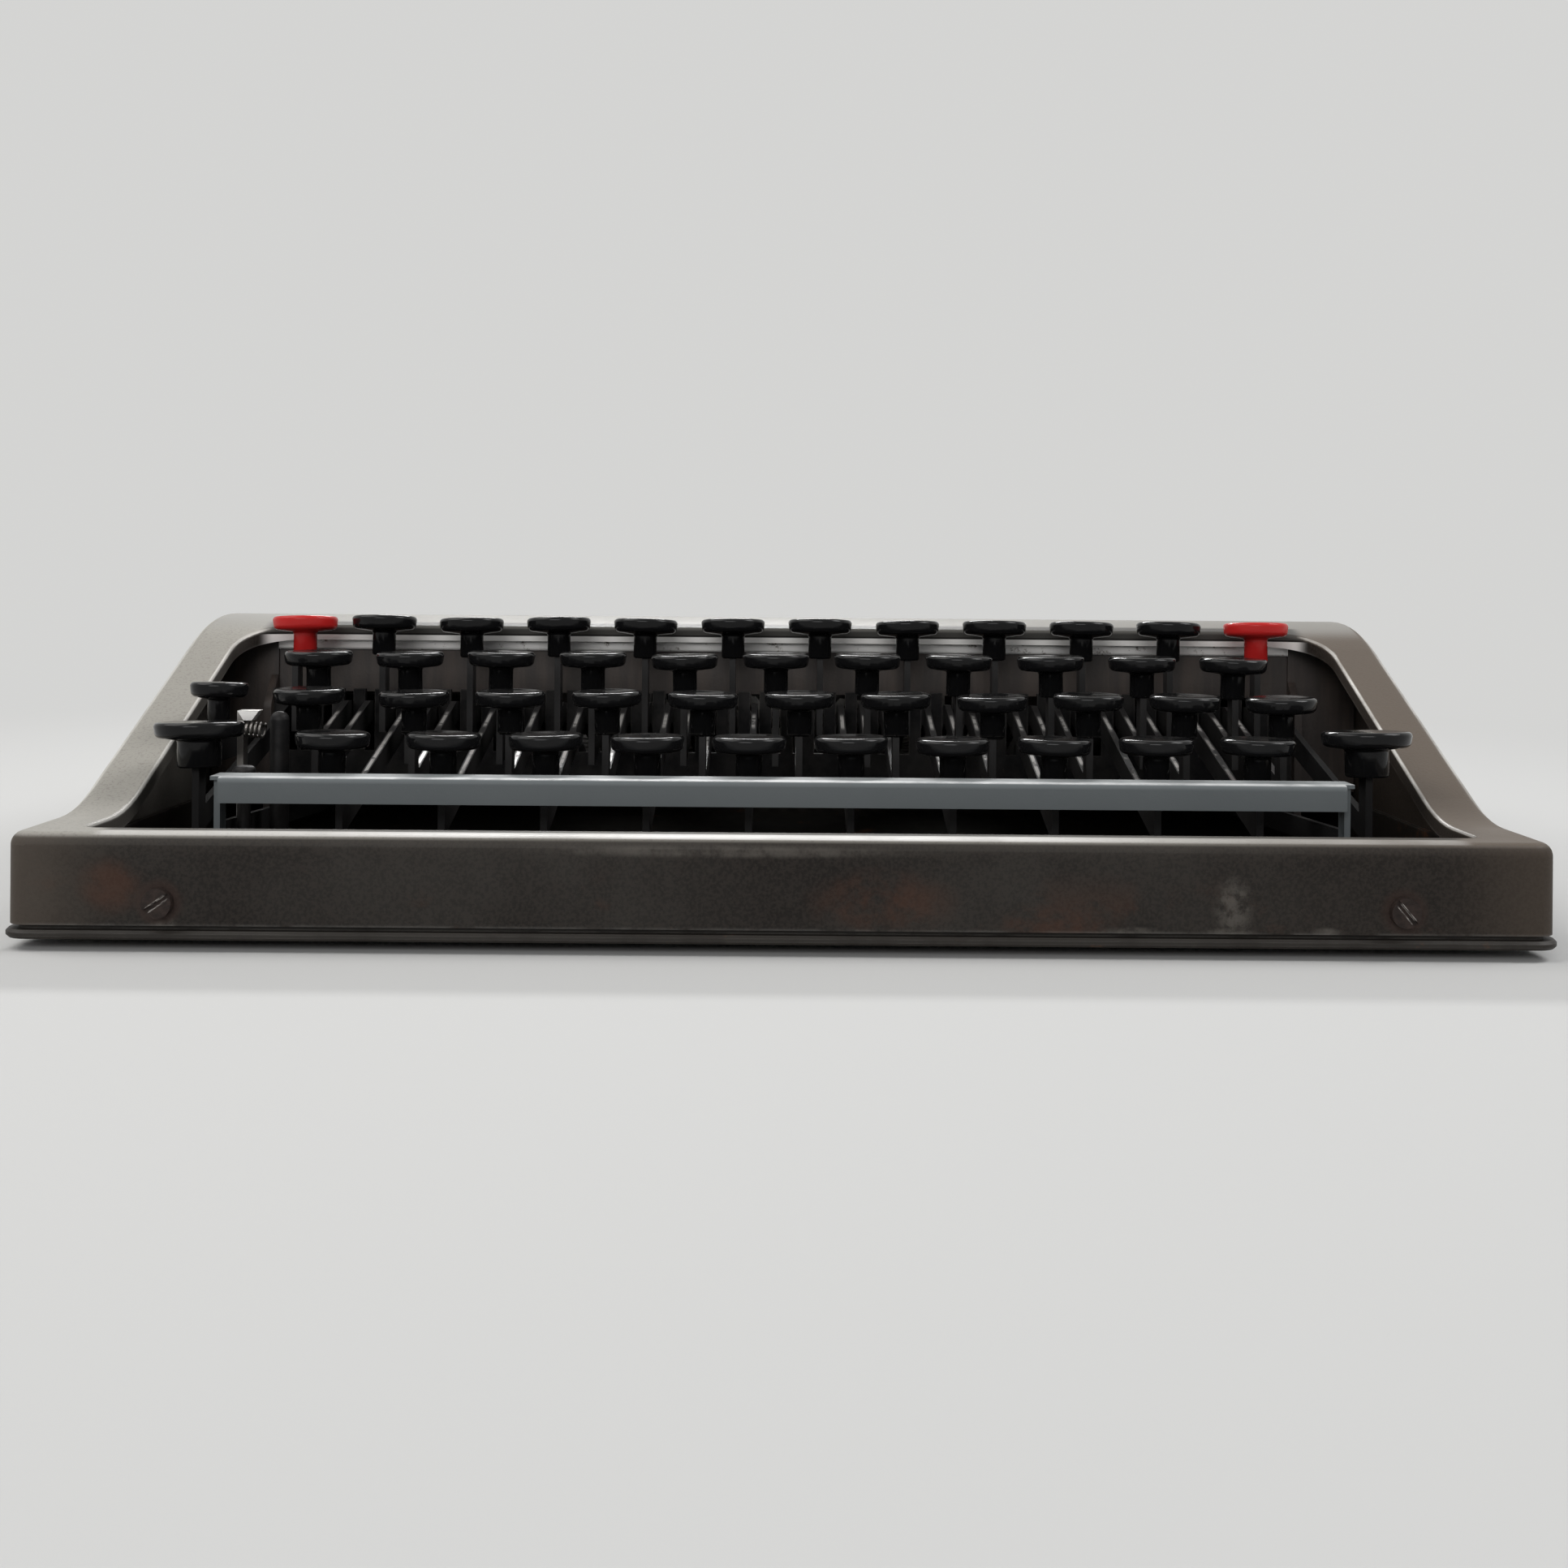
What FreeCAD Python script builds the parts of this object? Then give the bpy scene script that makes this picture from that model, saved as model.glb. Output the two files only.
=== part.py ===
"""Flat portable typewriter with four rows of round keys, built as named sub-parts.

Millimetres. X runs to the typist's right, Y from the typist to the back, Z up from the table.
"""
import os
import re

import FreeCAD
import Part
import Sketcher

# Driving sizes. Every other size and place is worked out from these.
SIZES = {
    # Keyboard
    "key_pitch": 19.05,
    "row_pitch": 19.05,
    "row_rise": 6.83,
    "key_radius": 6.95,
    "key_thickness": 2.8,
    "key_bevel": 0.8,
    "key_dish": 0.35,
    "key_tilt": -2.5,
    "stem_radius": 2.5,
    "stem_drop": 5.7,
    "front_key_height": 33.9,
    "end_key_set": 1.7,
    "shift_radius": 8.2,
    "shift_stem": 4.0,
    "shift_rise": 1.9,
    "shift_side_gap": 2.1,
    "lock_radius": 5.6,
    "lock_stem": 2.15,
    "lock_rise": 1.3,
    "lock_inset": 2.2,
    "lock_pin_radius": 1.2,
    # Key levers
    "lever_gauge": 1.3,
    "lever_depth": 4.5,
    "tang_width": 4.0,
    "short_tang": 6.0,
    "long_tang": 10.2,
    "arch_setback": 7.0,
    "dip_top": 12.2,
    "dip_depth": 4.2,
    "boss_wall": 1.5,
    "fulcrum_height": 12.0,
    "fulcrum_radius": 2.5,
    "fulcrum_inset": 26.5,
    "running_clearance": 0.05,
    "slot_clearance": 0.4,
    "comb_gauge": 1.5,
    "comb_floor": 18.0,
    "key_dip": 6.0,
    # Space bar
    "bar_overhang": 1.0,
    "bar_end_step": 1.8,
    "bar_height": 27.1,
    "bar_drop": 4.6,
    "bar_flange": 7.5,
    "bar_gauge": 0.7,
    "bar_setback": 18.5,
    "bar_to_keys": 18.0,
    "arm_gauge": 1.1,
    "arm_front_top": 18.6,
    # Case
    "body_depth": 253.0,
    "rail_width": 10.5,
    "key_side_gap": 6.25,
    "wall_gauge": 1.2,
    "front_height": 19.7,
    "cover_height": 54.2,
    "cover_fall": 1.5,
    "deck_height": 22.0,
    "front_shelf": 7.5,
    "rear_key_gap": 9.0,
    "slope_before_keys": 8.3,
    "slope_after_keys": 12.75,
    "foot_round": 38.0,
    "head_round": 64.0,
    "cover_round": 8.0,
    "deck_round": 3.0,
    "plan_round": 3.6,
    "edge_round": 2.2,
    "lip_depth": 3.2,
    "lip_round": 0.9,
    "opening_round": 13.0,
    "opening_front_round": 3.0,
    "throat_radius": 47.0,
    "cover_behind_basket": 2.0,
    "deck_margin": 18.0,
    # Base
    "foot_height": 2.0,
    "foot_radius": 8.0,
    "foot_inset": 26.0,
    "tray_gauge": 1.5,
    "tray_overhang": 0.7,
    "tray_groove": 0.8,
    "upstand_height": 11.0,
    "seat_gap": 0.1,
    "screw_inset": 26.0,
    "screw_height": 8.2,
    "screw_head": 2.5,
    "screw_head_height": 1.5,
    "screw_shank": 1.2,
    "screw_slot": 0.8,
    # Frame inside the case
    "plate_gauge": 1.6,
    "plate_to_shift": 5.0,
    "bridge_floor": 14.2,
    "bridge_height": 5.8,
    "bridge_depth": 6.0,
    "spool_radius": 21.0,
    "spool_roll": 17.0,
    "spool_width": 11.0,
    "spool_flange": 1.0,
    "spool_post": 2.5,
    "spool_shelf": 1.6,
    "spool_side_gap": 5.0,
    "panel_gauge": 1.2,
    "panel_strip": 2.5,
    # Type basket
    "basket_after_keys": 71.0,
    "basket_height": 18.0,
    "basket_tilt": 22.0,
    "basket_spread": 170.0,
    "segment_inner": 20.0,
    "segment_outer": 28.0,
    "segment_gauge": 8.0,
    "segment_slot": 0.95,
    "segment_web": 2.0,
    "typebar_gauge": 0.8,
    "typebar_reach": 57.0,
    "slug_width": 2.8,
    # Carriage
    "platen_after_basket": 20.0,
    "platen_radius": 12.0,
    "platen_lift": 1.7,
    "axle_radius": 3.0,
    "knob_radius": 9.5,
    "knob_length": 12.0,
    "end_plate_gauge": 2.0,
    "end_plate_inset": 11.0,
    "roller_gap": 4.0,
    "knob_gap": 3.0,
    "rail_top": 23.5,
    "rail_gauge": 5.0,
    "slide_gap": 0.2,
    "base_gauge": 1.6,
    "hinge_inset": 14.5,
    "hinge_height": 15.0,
    "hinge_radius": 2.0,
    "table_gauge": 1.2,
    "table_gap": 3.0,
    "return_post": 2.5,
    "return_length": 52.0,
    "return_lift": 10.8,
    "return_gauge": 1.8,
}

# Places and sizes that follow from the driving ones.
FORMULAS = {
    "half_width": "5.58 * key_pitch + key_radius + key_side_gap + rail_width",
    "open_half": "half_width - rail_width",
    "front": "-body_depth / 2",
    "rear": "body_depth / 2",
    "bar_y": "front + bar_setback",
    "row_4": "bar_y + bar_to_keys",
    "row_1": "row_4 + row_pitch * 3",
    "open_front": "front + front_shelf",
    "open_rear": "row_1 + rear_key_gap",
    "slope_foot": "row_4 - slope_before_keys",
    "slope_head": "row_1 + slope_after_keys",
    "stem_length": "key_thickness + stem_drop",
    "lever_front": "front_key_height - stem_length - short_tang",
    "arch_y": "row_1 + arch_setback",
    "arch_top": "front_key_height + row_rise * 3 - stem_length - long_tang",
    "lever_slope": "(arch_top - lever_front) / (arch_y - row_4)",
    "basket_y": "row_1 + basket_after_keys",
    "dip_y": "basket_y + 2",
    "fulcrum_y": "rear - fulcrum_inset",
    "cover_rear": "basket_y + cover_behind_basket",
    "platen_y": "basket_y + platen_after_basket",
    "hinge_y": "rear - hinge_inset",
    "floor": "foot_height + tray_gauge",
    "shell_foot": "floor + tray_groove",
    "shift_x": "open_half - shift_side_gap - shift_radius",
    "lock_x": "shift_x + lock_inset",
    "arm_x": "5.3 * key_pitch",
    "bar_half": "arm_x + bar_overhang",
    "boss_radius": "fulcrum_radius + boss_wall",
    "plate_x": "shift_x + plate_to_shift",
    "comb_y": "arch_y + 1",
    "comb_top": "arch_top + 2",
    "slot_floor": "arch_top - lever_depth - key_dip - 1.2",
    "panel_y": "comb_y + comb_gauge + 2",
    "panel_top": "cover_height - lip_depth - 2.2",
    "spool_x": "plate_x - plate_gauge - spool_side_gap - spool_radius",
    "spool_y": "basket_y - 30",
    "spool_top": "cover_height - wall_gauge - 5",
    "shelf_top": "spool_top - spool_width - slide_gap",
    "end_x": "half_width - end_plate_inset",
    "platen_half": "end_x - roller_gap",
    "knob_start": "end_x + knob_gap",
    "carriage_floor": "rail_top + slide_gap",
    "platen_height": "carriage_floor + base_gauge + platen_lift + platen_radius",
    "table_y": "platen_y + platen_radius + table_gap",
    "return_height": "platen_height + return_lift",
    "rail_half": "plate_x - 7",
    "bail_y": "fulcrum_y + boss_radius + 3",
    "deck_front": "cover_rear + 6",
    "deck_rear": "hinge_y",
    "deck_half": "half_width - deck_margin",
}

# Row: key position of its first key, in pitches from the middle, and how many keys it has.
ROWS = {1: (-5.58, 12), 2: (-5.08, 11), 3: (-4.83, 11), 4: (-4.33, 10)}
# Comb slots, four to a key pitch, from the first key of the top row to its last.
COMB_SLOTS = 45
TYPEBARS = 42

doc = FreeCAD.newDocument("typewriter")
sheet = doc.addObject("Spreadsheet::Sheet", "Sizes")
for line, (alias, size) in enumerate(SIZES.items(), start=1):
    sheet.set(f"A{line}", alias)
    sheet.set(f"B{line}", str(size))
    sheet.setAlias(f"B{line}", alias)
doc.recompute()

nodes = []


def formula(text):
    """Spell a formula out in sheet cells, as a property can be bound to it."""

    def word(match):
        name = match.group()
        if name in SIZES:
            return f"Sizes.{name}"
        if name in FORMULAS:
            return f"({formula(FORMULAS[name])})"
        return name

    return re.sub(r"[a-z_][a-z_0-9]*", word, str(text))


def value(text):
    """Work a formula out from the sheet."""
    result = sheet.evalExpression(formula(text))
    return float(getattr(result, "Value", result))


def place(thing, x="0", y="0", z="0"):
    """Bind where a thing stands."""
    for axis, text in (("x", x), ("y", y), ("z", z)):
        thing.setExpression(f"Placement.Base.{axis}", formula(text))


def origin_plane(body, role):
    """One of a body's own planes."""
    return next(item for item in body.Origin.OriginFeatures if item.Role == role)


def tie(sketch, kind, line, text):
    """Bind one coordinate of a line's start to a formula."""
    number = value(text)
    if abs(number) < 1e-9:
        axis = -2 if kind == "DistanceX" else -1
        sketch.addConstraint(Sketcher.Constraint("PointOnObject", line, 1, axis))
        return
    index = sketch.addConstraint(Sketcher.Constraint(kind, -1, 1, line, 1, number))
    sketch.setExpression(f"Constraints[{index}]", formula(text))


def outline(sketch, corners):
    """Draw one closed outline. A corner is (across, up) or (across, up, round), in formulas."""
    first = sketch.GeometryCount
    count = len(corners)
    points = [FreeCAD.Vector(value(corner[0]), value(corner[1]), 0) for corner in corners]
    for index in range(count):
        sketch.addGeometry(Part.LineSegment(points[index], points[(index + 1) % count]), False)
    for index in range(count):
        end = first + (index + 1) % count
        sketch.addConstraint(Sketcher.Constraint("Coincident", first + index, 2, end, 1))
    for index, corner in enumerate(corners):
        tie(sketch, "DistanceX", first + index, corner[0])
        tie(sketch, "DistanceY", first + index, corner[1])
    for index, corner in enumerate(corners):
        if len(corner) < 3:
            continue
        before = first + (index - 1) % count
        here = points[index]
        towards = (points[index - 1] - here).normalize() * 0.1
        onwards = (points[(index + 1) % count] - here).normalize() * 0.1
        sketch.fillet(before, first + index, here + towards, here + onwards, value(corner[2]), True, True)
        arc = max(i for i, item in enumerate(sketch.Geometry) if isinstance(item, Part.ArcOfCircle))
        bound = sketch.addConstraint(Sketcher.Constraint("Radius", arc, value(corner[2])))
        sketch.setExpression(f"Constraints[{bound}]", formula(corner[2]))


def ring(sketch, across, up, radius):
    """Draw a circle with its middle and radius bound."""
    middle = FreeCAD.Vector(value(across), value(up), 0)
    circle = sketch.addGeometry(Part.Circle(middle, FreeCAD.Vector(0, 0, 1), value(radius)), False)
    bound = sketch.addConstraint(Sketcher.Constraint("Radius", circle, value(radius)))
    sketch.setExpression(f"Constraints[{bound}]", formula(radius))
    for kind, text, axis in (("DistanceX", across, -2), ("DistanceY", up, -1)):
        if abs(value(text)) < 1e-9:
            sketch.addConstraint(Sketcher.Constraint("PointOnObject", circle, 3, axis))
        else:
            index = sketch.addConstraint(Sketcher.Constraint(kind, -1, 1, circle, 3, value(text)))
            sketch.setExpression(f"Constraints[{index}]", formula(text))


def draw(body, name, plane, outlines, circles=(), offset="0"):
    """A sketch in one of a body's own planes, moved along the plane's normal by offset."""
    sketch = body.newObject("Sketcher::SketchObject", name)
    sketch.AttachmentSupport = [(origin_plane(body, plane), "")]
    sketch.MapMode = "FlatFace"
    sketch.setExpression("AttachmentOffset.Base.z", formula(offset))
    for corners in outlines:
        outline(sketch, corners)
    for circle in circles:
        ring(sketch, *circle)
    return sketch


def pad(body, sketch, length, symmetric=True):
    """Give a sketch thickness."""
    feature = body.newObject("PartDesign::Pad", f"{sketch.Name}_pad")
    feature.Profile = sketch
    feature.SideType = "Symmetric" if symmetric else "One side"
    feature.setExpression("Length", formula(length))
    return feature


def sheet_part(name, plane, outlines, length, circles=(), offset="0", symmetric=True):
    """A body padded from one sketch."""
    body = doc.addObject("PartDesign::Body", name)
    sketch = draw(body, f"{name}_outline", plane, outlines, circles, offset)
    pad(body, sketch, length, symmetric)
    doc.recompute()
    return body


def turned_part(name, corners, axis="V_Axis"):
    """A body turned from half an outline about an axis of its sketch."""
    body = doc.addObject("PartDesign::Body", name)
    sketch = draw(body, f"{name}_outline", "XZ_Plane", [corners])
    turn = body.newObject("PartDesign::Revolution", f"{name}_turn")
    turn.Profile = sketch
    turn.ReferenceAxis = (sketch, [axis])
    turn.Angle = 360
    doc.recompute()
    return body


def box(name, x, y, z):
    """A block between two formulas along each axis."""
    block = doc.addObject("Part::Box", name)
    for side, (low, high) in (("Length", x), ("Width", y), ("Height", z)):
        block.setExpression(side, formula(f"({high}) - ({low})"))
    place(block, x[0], y[0], z[0])
    return block


def rod(name, radius, length, x, y, z, axis=(0, 0, 1)):
    """A round bar that starts at a point and runs along an axis."""
    bar = doc.addObject("Part::Cylinder", name)
    bar.Placement.Rotation = FreeCAD.Rotation(FreeCAD.Vector(0, 0, 1), FreeCAD.Vector(*axis))
    bar.setExpression("Radius", formula(radius))
    bar.setExpression("Height", formula(length))
    place(bar, x, y, z)
    return bar


def fuse(name, shapes):
    """Join shapes to one solid."""
    joined = doc.addObject("Part::MultiFuse", name)
    joined.Shapes = shapes
    joined.Refine = True
    return joined


def cut(name, base, tool):
    """Take one shape from another."""
    left = doc.addObject("Part::Cut", name)
    left.Base = base
    left.Tool = tool
    return left


def group(name, shapes):
    """Several solids kept side by side."""
    together = doc.addObject("Part::Compound", name)
    together.Links = shapes
    return together


def node(name, shapes, x="0"):
    """A sub-part of the assembly, with its own name and place."""
    part = group(name, shapes)
    part.Label = name
    place(part, x)
    nodes.append(part)
    return part


def row_y(row):
    """Where a row of keys stands, front to back."""
    return f"(row_4 + row_pitch * {4 - row})"


def row_top(row):
    """How high a row's key tops are."""
    return f"(front_key_height + row_rise * {4 - row})"


# Keytops: a round pad on a round stem, turned about its own axis, with its top at zero.
def keytop(name, radius, stem):
    """A key's pad and stem."""
    return turned_part(name, [
        ("0", "-key_dish"),
        (f"{radius} - key_bevel", "0"),
        (radius, "-key_bevel"),
        (radius, "-key_thickness"),
        (stem, "-key_thickness - 1.4"),
        (stem, "-stem_length"),
        ("0", "-stem_length"),
    ])


def placed_key(name, top, x, y, z):
    """A keytop on its lever, leaned by key_tilt, towards the typist where that is positive."""
    leaning = group(name, [top])
    leaning.Placement.Rotation = FreeCAD.Rotation(FreeCAD.Vector(1, 0, 0), SIZES["key_tilt"])
    place(leaning, x, y, z)
    return leaning


def tang_top(height, offset):
    """Height of the leaning underside of a stem, at an offset from the key's middle."""
    lean = f"({offset} - stem_length * sin(key_tilt)) * tan(key_tilt)"
    return f"{height} - stem_length * cos(key_tilt) + {lean}"


def lever_top(y):
    """Height of a lever's upper edge ahead of the arch."""
    return f"(lever_front + lever_slope * ({y} - row_4))"


# The hidden end of every lever: a boss round the fulcrum rod.
BOSS = [
    ("fulcrum_y - 14", "fulcrum_height + boss_radius"),
    ("fulcrum_y + boss_radius * 0.4", "fulcrum_height + boss_radius"),
    ("fulcrum_y + boss_radius", "fulcrum_height + boss_radius * 0.4"),
    ("fulcrum_y + boss_radius", "fulcrum_height - boss_radius * 0.4"),
    ("fulcrum_y + boss_radius * 0.4", "fulcrum_height - boss_radius"),
    ("fulcrum_y - 14", "fulcrum_height - boss_radius"),
]


def lever_outline(y, height):
    """A key lever: upright tang under the key, slope, arch, dip under the basket, boss."""
    near = f"({y} - tang_width / 2)"
    far = f"({y} + tang_width / 2)"
    return [
        (near, tang_top(height, "-tang_width / 2")),
        (far, tang_top(height, "tang_width / 2")),
        (far, lever_top(far)),
        ("arch_y - 2", "arch_top - 0.5"),
        ("arch_y + 2", "arch_top - 0.7"),
        ("dip_y", "dip_top"),
        *BOSS,
        ("dip_y", "dip_top - dip_depth"),
        ("arch_y", "arch_top - lever_depth * 1.08"),
        (near, f"{lever_top(near)} - lever_depth"),
    ]


FULCRUM_HOLE = ("fulcrum_y", "fulcrum_height", "fulcrum_radius + running_clearance")

plain_top = keytop("keytop", "key_radius", "stem_radius")
for row, (start, count) in ROWS.items():
    bar_shape = sheet_part(
        f"lever_row_{row}", "YZ_Plane", [lever_outline(row_y(row), row_top(row))], "lever_gauge",
        circles=[FULCRUM_HOLE],
    )
    middle_top = placed_key(f"keytop_row_{row}", plain_top, "0", row_y(row), row_top(row))
    for number in range(count):
        top = middle_top
        if number == 0 and row != 2:
            lean = "end_key_set" if row == 1 else "-end_key_set"
            top = placed_key(f"keytop_row_{row}_end", plain_top, lean, row_y(row), row_top(row))
        name = f"key_r{row}_{number + 1:02d}"
        if row == 1 and number == 0:
            name = "margin_release_key"
        if row == 1 and number == count - 1:
            name = "backspace_key"
        node(name, [top, bar_shape], f"key_pitch * ({start + number})")

# Shift keys: a left and a right key on one bail that runs behind the fulcrum rod.
shift_top = keytop("shift_keytop", "shift_radius", "shift_stem")
shift_height = "(front_key_height + shift_rise)"
shift_lever = sheet_part(
    "shift_lever", "YZ_Plane", [lever_outline("row_4", shift_height)], "lever_gauge", circles=[FULCRUM_HOLE]
)
bail = box(
    "shift_bail", ("-shift_x - lever_gauge / 2", "shift_x + lever_gauge / 2"),
    ("bail_y", "bail_y + 3"), ("fulcrum_height - 6", "fulcrum_height - 1"),
)
lock_pivot_y = "(row_4 + row_pitch * 2 + 7)"
lock_pivot_z = f"({lever_top(lock_pivot_y)} - lever_depth / 2)"
lock_pin = rod(
    "lock_pin", "lock_pin_radius", "lock_inset + lever_gauge / 2 + 0.8", "-shift_x - lever_gauge / 2 + 0.3",
    lock_pivot_y, lock_pivot_z, axis=(-1, 0, 0),
)
shift_solids = [bail]
for side, sign in (("left", "-"), ("right", "")):
    at = f"{sign}shift_x"
    shift_solids.append(placed_key(f"shift_{side}_keytop", shift_top, at, "row_4", shift_height))
    stays = group(f"shift_{side}_lever", [shift_lever])
    place(stays, at)
    tail = box(
        f"shift_{side}_tail", (f"{at} - lever_gauge / 2", f"{at} + lever_gauge / 2"),
        ("fulcrum_y + boss_radius - 0.6", "bail_y"), ("fulcrum_height - 1.4", "fulcrum_height + 1.4"),
    )
    pieces = [stays, tail]
    if side == "left":
        pieces.append(lock_pin)
    shift_solids.append(fuse(f"shift_{side}_arm", pieces))
node("shift_keys", shift_solids)

# Shift lock: a small key on a short lever that swings on the left shift lever.
lock_top = keytop("lock_keytop", "lock_radius", "lock_stem")
lock_y = row_y(3)
lock_height = f"({row_top(3)} + lock_rise)"
lock_lever = sheet_part("lock_lever", "YZ_Plane", [[
    (f"{lock_y} - tang_width / 2", tang_top(lock_height, "-tang_width / 2")),
    (f"{lock_y} + tang_width / 2", tang_top(lock_height, "tang_width / 2")),
    (f"{lock_y} + tang_width / 2", f"{lock_pivot_z} + 2.4"),
    (f"{lock_pivot_y} + 3", f"{lock_pivot_z} + 2.4"),
    (f"{lock_pivot_y} + 3", f"{lock_pivot_z} - 2.4"),
    (f"{lock_y} - tang_width / 2", f"{lock_pivot_z} - 2.4"),
]], "lever_gauge", circles=[(lock_pivot_y, lock_pivot_z, "lock_pin_radius + running_clearance")])
placed_lock = placed_key("lock_keytop_placed", lock_top, "0", lock_y, lock_height)
node("shift_lock", [placed_lock, lock_lever], "-lock_x")

# Space bar: a bent strip with a longer flange behind, on two arms to the fulcrum rod.
space_bar = doc.addObject("PartDesign::Body", "space_bar_body")
face = draw(space_bar, "space_bar_face", "YZ_Plane", [[
    ("bar_y", "bar_height - bar_drop"),
    ("bar_y + bar_gauge", "bar_height - bar_drop"),
    ("bar_y + bar_gauge", "bar_height - bar_gauge"),
    ("bar_y + bar_flange", "bar_height - bar_gauge"),
    ("bar_y + bar_flange", "bar_height"),
    ("bar_y", "bar_height", "bar_gauge * 1.4"),
]])
pad(space_bar, face, "2 * (bar_half - bar_end_step)")
flange = draw(space_bar, "space_bar_flange", "YZ_Plane", [[
    ("bar_y + 1.6", "bar_height - bar_gauge"),
    ("bar_y + bar_flange", "bar_height - bar_gauge"),
    ("bar_y + bar_flange", "bar_height"),
    ("bar_y + 1.6", "bar_height"),
]])
pad(space_bar, flange, "2 * bar_half")
doc.recompute()
bar_solids = [space_bar]
for side, sign in (("left", "-"), ("right", "")):
    bar_solids.append(sheet_part(f"space_bar_arm_{side}", "YZ_Plane", [[
        ("bar_y + 2.5", "bar_height - bar_gauge"),
        ("bar_y + 6", "bar_height - bar_gauge"),
        ("bar_y + 6", "arm_front_top"),
        ("dip_y", "dip_top"),
        *BOSS,
        ("dip_y", "dip_top - dip_depth"),
        ("bar_y + 6", "arm_front_top - 4"),
        ("bar_y + 2.5", "arm_front_top - 1.5"),
    ]], "arm_gauge", [FULCRUM_HOLE], f"{sign}arm_x"))
node("space_bar", bar_solids)


# Case shell: a folded sheet cover with a keyboard opening, a throat for the type and a low rear deck.
def case_profile(inset, foot):
    """Side outline of the case, drawn in by inset."""
    return [
        (f"front + {inset}", foot),
        (f"front + {inset}", f"front_height - {inset}"),
        ("slope_foot", f"front_height - {inset}", "foot_round"),
        ("slope_head", f"cover_height - {inset}", "head_round"),
        (f"cover_rear - {inset}", f"cover_height - cover_fall - {inset}", "cover_round"),
        (f"cover_rear - {inset}", f"deck_height - {inset}", "deck_round"),
        (f"rear - {inset}", f"deck_height - {inset}"),
        (f"rear - {inset}", foot),
    ]


def rounded_plan(half, y_low, y_high, low_round, high_round):
    """A plan outline with rounded corners."""
    return [
        (f"-({half})", y_low, low_round),
        (half, y_low, low_round),
        (half, y_high, high_round),
        (f"-({half})", y_high, high_round),
    ]


def plan_distance(point, inset):
    """How far a point is from the case's rounded plan outline."""
    corner = value("plan_round") - inset
    across = abs(point.x) - value("half_width") + inset + corner
    along = abs(point.y) - value("rear") + inset + corner
    if across > 0 and along > 0:
        return (across ** 2 + along ** 2) ** 0.5 - corner
    return max(across, along) - corner


def upright(edge):
    """Whether an edge runs straight up."""
    first = edge.Vertexes[0].Point
    last = edge.Vertexes[-1].Point
    return abs(first.x - last.x) + abs(first.y - last.y) < 1e-6


def round_edges(body, name, base, chosen, radius):
    """Round the edges of a feature that a test picks."""
    names = [f"Edge{index}" for index, edge in enumerate(base.Shape.Edges, start=1) if chosen(edge)]
    feature = body.newObject("PartDesign::Fillet", name)
    feature.Base = (base, names)
    feature.setExpression("Radius", formula(radius))
    doc.recompute()
    return feature


def at_case_corner(edge):
    """Whether an edge is one of the case's four upright corners."""
    point = edge.Vertexes[0].Point
    reach = value("half_width - plan_round") - 0.01, value("rear - plan_round") - 0.01
    return upright(edge) and abs(point.x) > reach[0] and abs(point.y) > reach[1]


def on_case_brow(edge):
    """Whether an edge lies along the case's upper outline."""
    middle = edge.valueAt((edge.FirstParameter + edge.LastParameter) / 2)
    low = max(vertex.Point.z for vertex in edge.Vertexes) < value("shell_foot") + 0.1
    return abs(plan_distance(middle, 0)) < 0.01 and not low and not at_case_corner(edge)


outer = sheet_part("case_outer", "YZ_Plane", [case_profile("0", "shell_foot")], "2 * half_width")
corners = round_edges(outer, "case_corners", outer.Tip, at_case_corner, "plan_round")
round_edges(outer, "case_brow", corners, on_case_brow, "edge_round")
inner = sheet_part("case_inner", "YZ_Plane", [case_profile("wall_gauge", "foot_height")],
                   "2 * (half_width - wall_gauge)")
round_edges(inner, "case_inner_corners", inner.Tip, at_case_corner, "plan_round - wall_gauge")

keyboard_hole = sheet_part("keyboard_hole", "XY_Plane", [
    rounded_plan("open_half", "open_front", "open_rear", "opening_front_round", "opening_round")
], "cover_height + 20", symmetric=False)
lip_plan = sheet_part("lip_plan", "XY_Plane", [
    rounded_plan("open_half + wall_gauge", "open_front - wall_gauge", "open_rear + wall_gauge",
                 "opening_front_round + wall_gauge", "opening_round + wall_gauge")
], "cover_height + 20", symmetric=False)
lowered = group("case_lowered", [outer])
place(lowered, z="-lip_depth")
skin = cut("case_skin", outer, lowered)
lip = doc.addObject("Part::Common", "keyboard_lip")
lip.Base = skin
lip.Tool = lip_plan
hollow = cut("case_hollow", inner, lip)
throat = rod("throat", "throat_radius", "cover_height", "0", "cover_rear + 1",
             "deck_height - wall_gauge - 1")
deck_hole = sheet_part("deck_hole", "XY_Plane", [
    rounded_plan("deck_half", "deck_front", "deck_rear", "4", "4")
], "cover_height", offset="deck_height - wall_gauge - 1", symmetric=False)
screw_holes = []
for side, sign in (("left", "-"), ("right", "")):
    x = f"{sign}(half_width - screw_inset)"
    for end, start, axis in (("front", "front - 1", (0, 1, 0)), ("rear", "rear + 1", (0, -1, 0))):
        screw_holes.append(rod(f"shell_hole_{end}_{side}", "screw_shank + 0.4", "wall_gauge + 2", x, start,
                               "screw_height", axis))
shell_cuts = fuse("shell_cuts", [hollow, keyboard_hole, throat, deck_hole] + screw_holes)
shell = cut("shell_sheet", outer, shell_cuts)
doc.recompute()


def on_lip(edge):
    """Whether an edge is where the keyboard opening meets the top of the case."""
    middle = Part.Vertex(edge.valueAt((edge.FirstParameter + edge.LastParameter) / 2))
    return all(solid.Shape.Shells[0].distToShape(middle)[0] < 1e-3 for solid in (outer, keyboard_hole))


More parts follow.
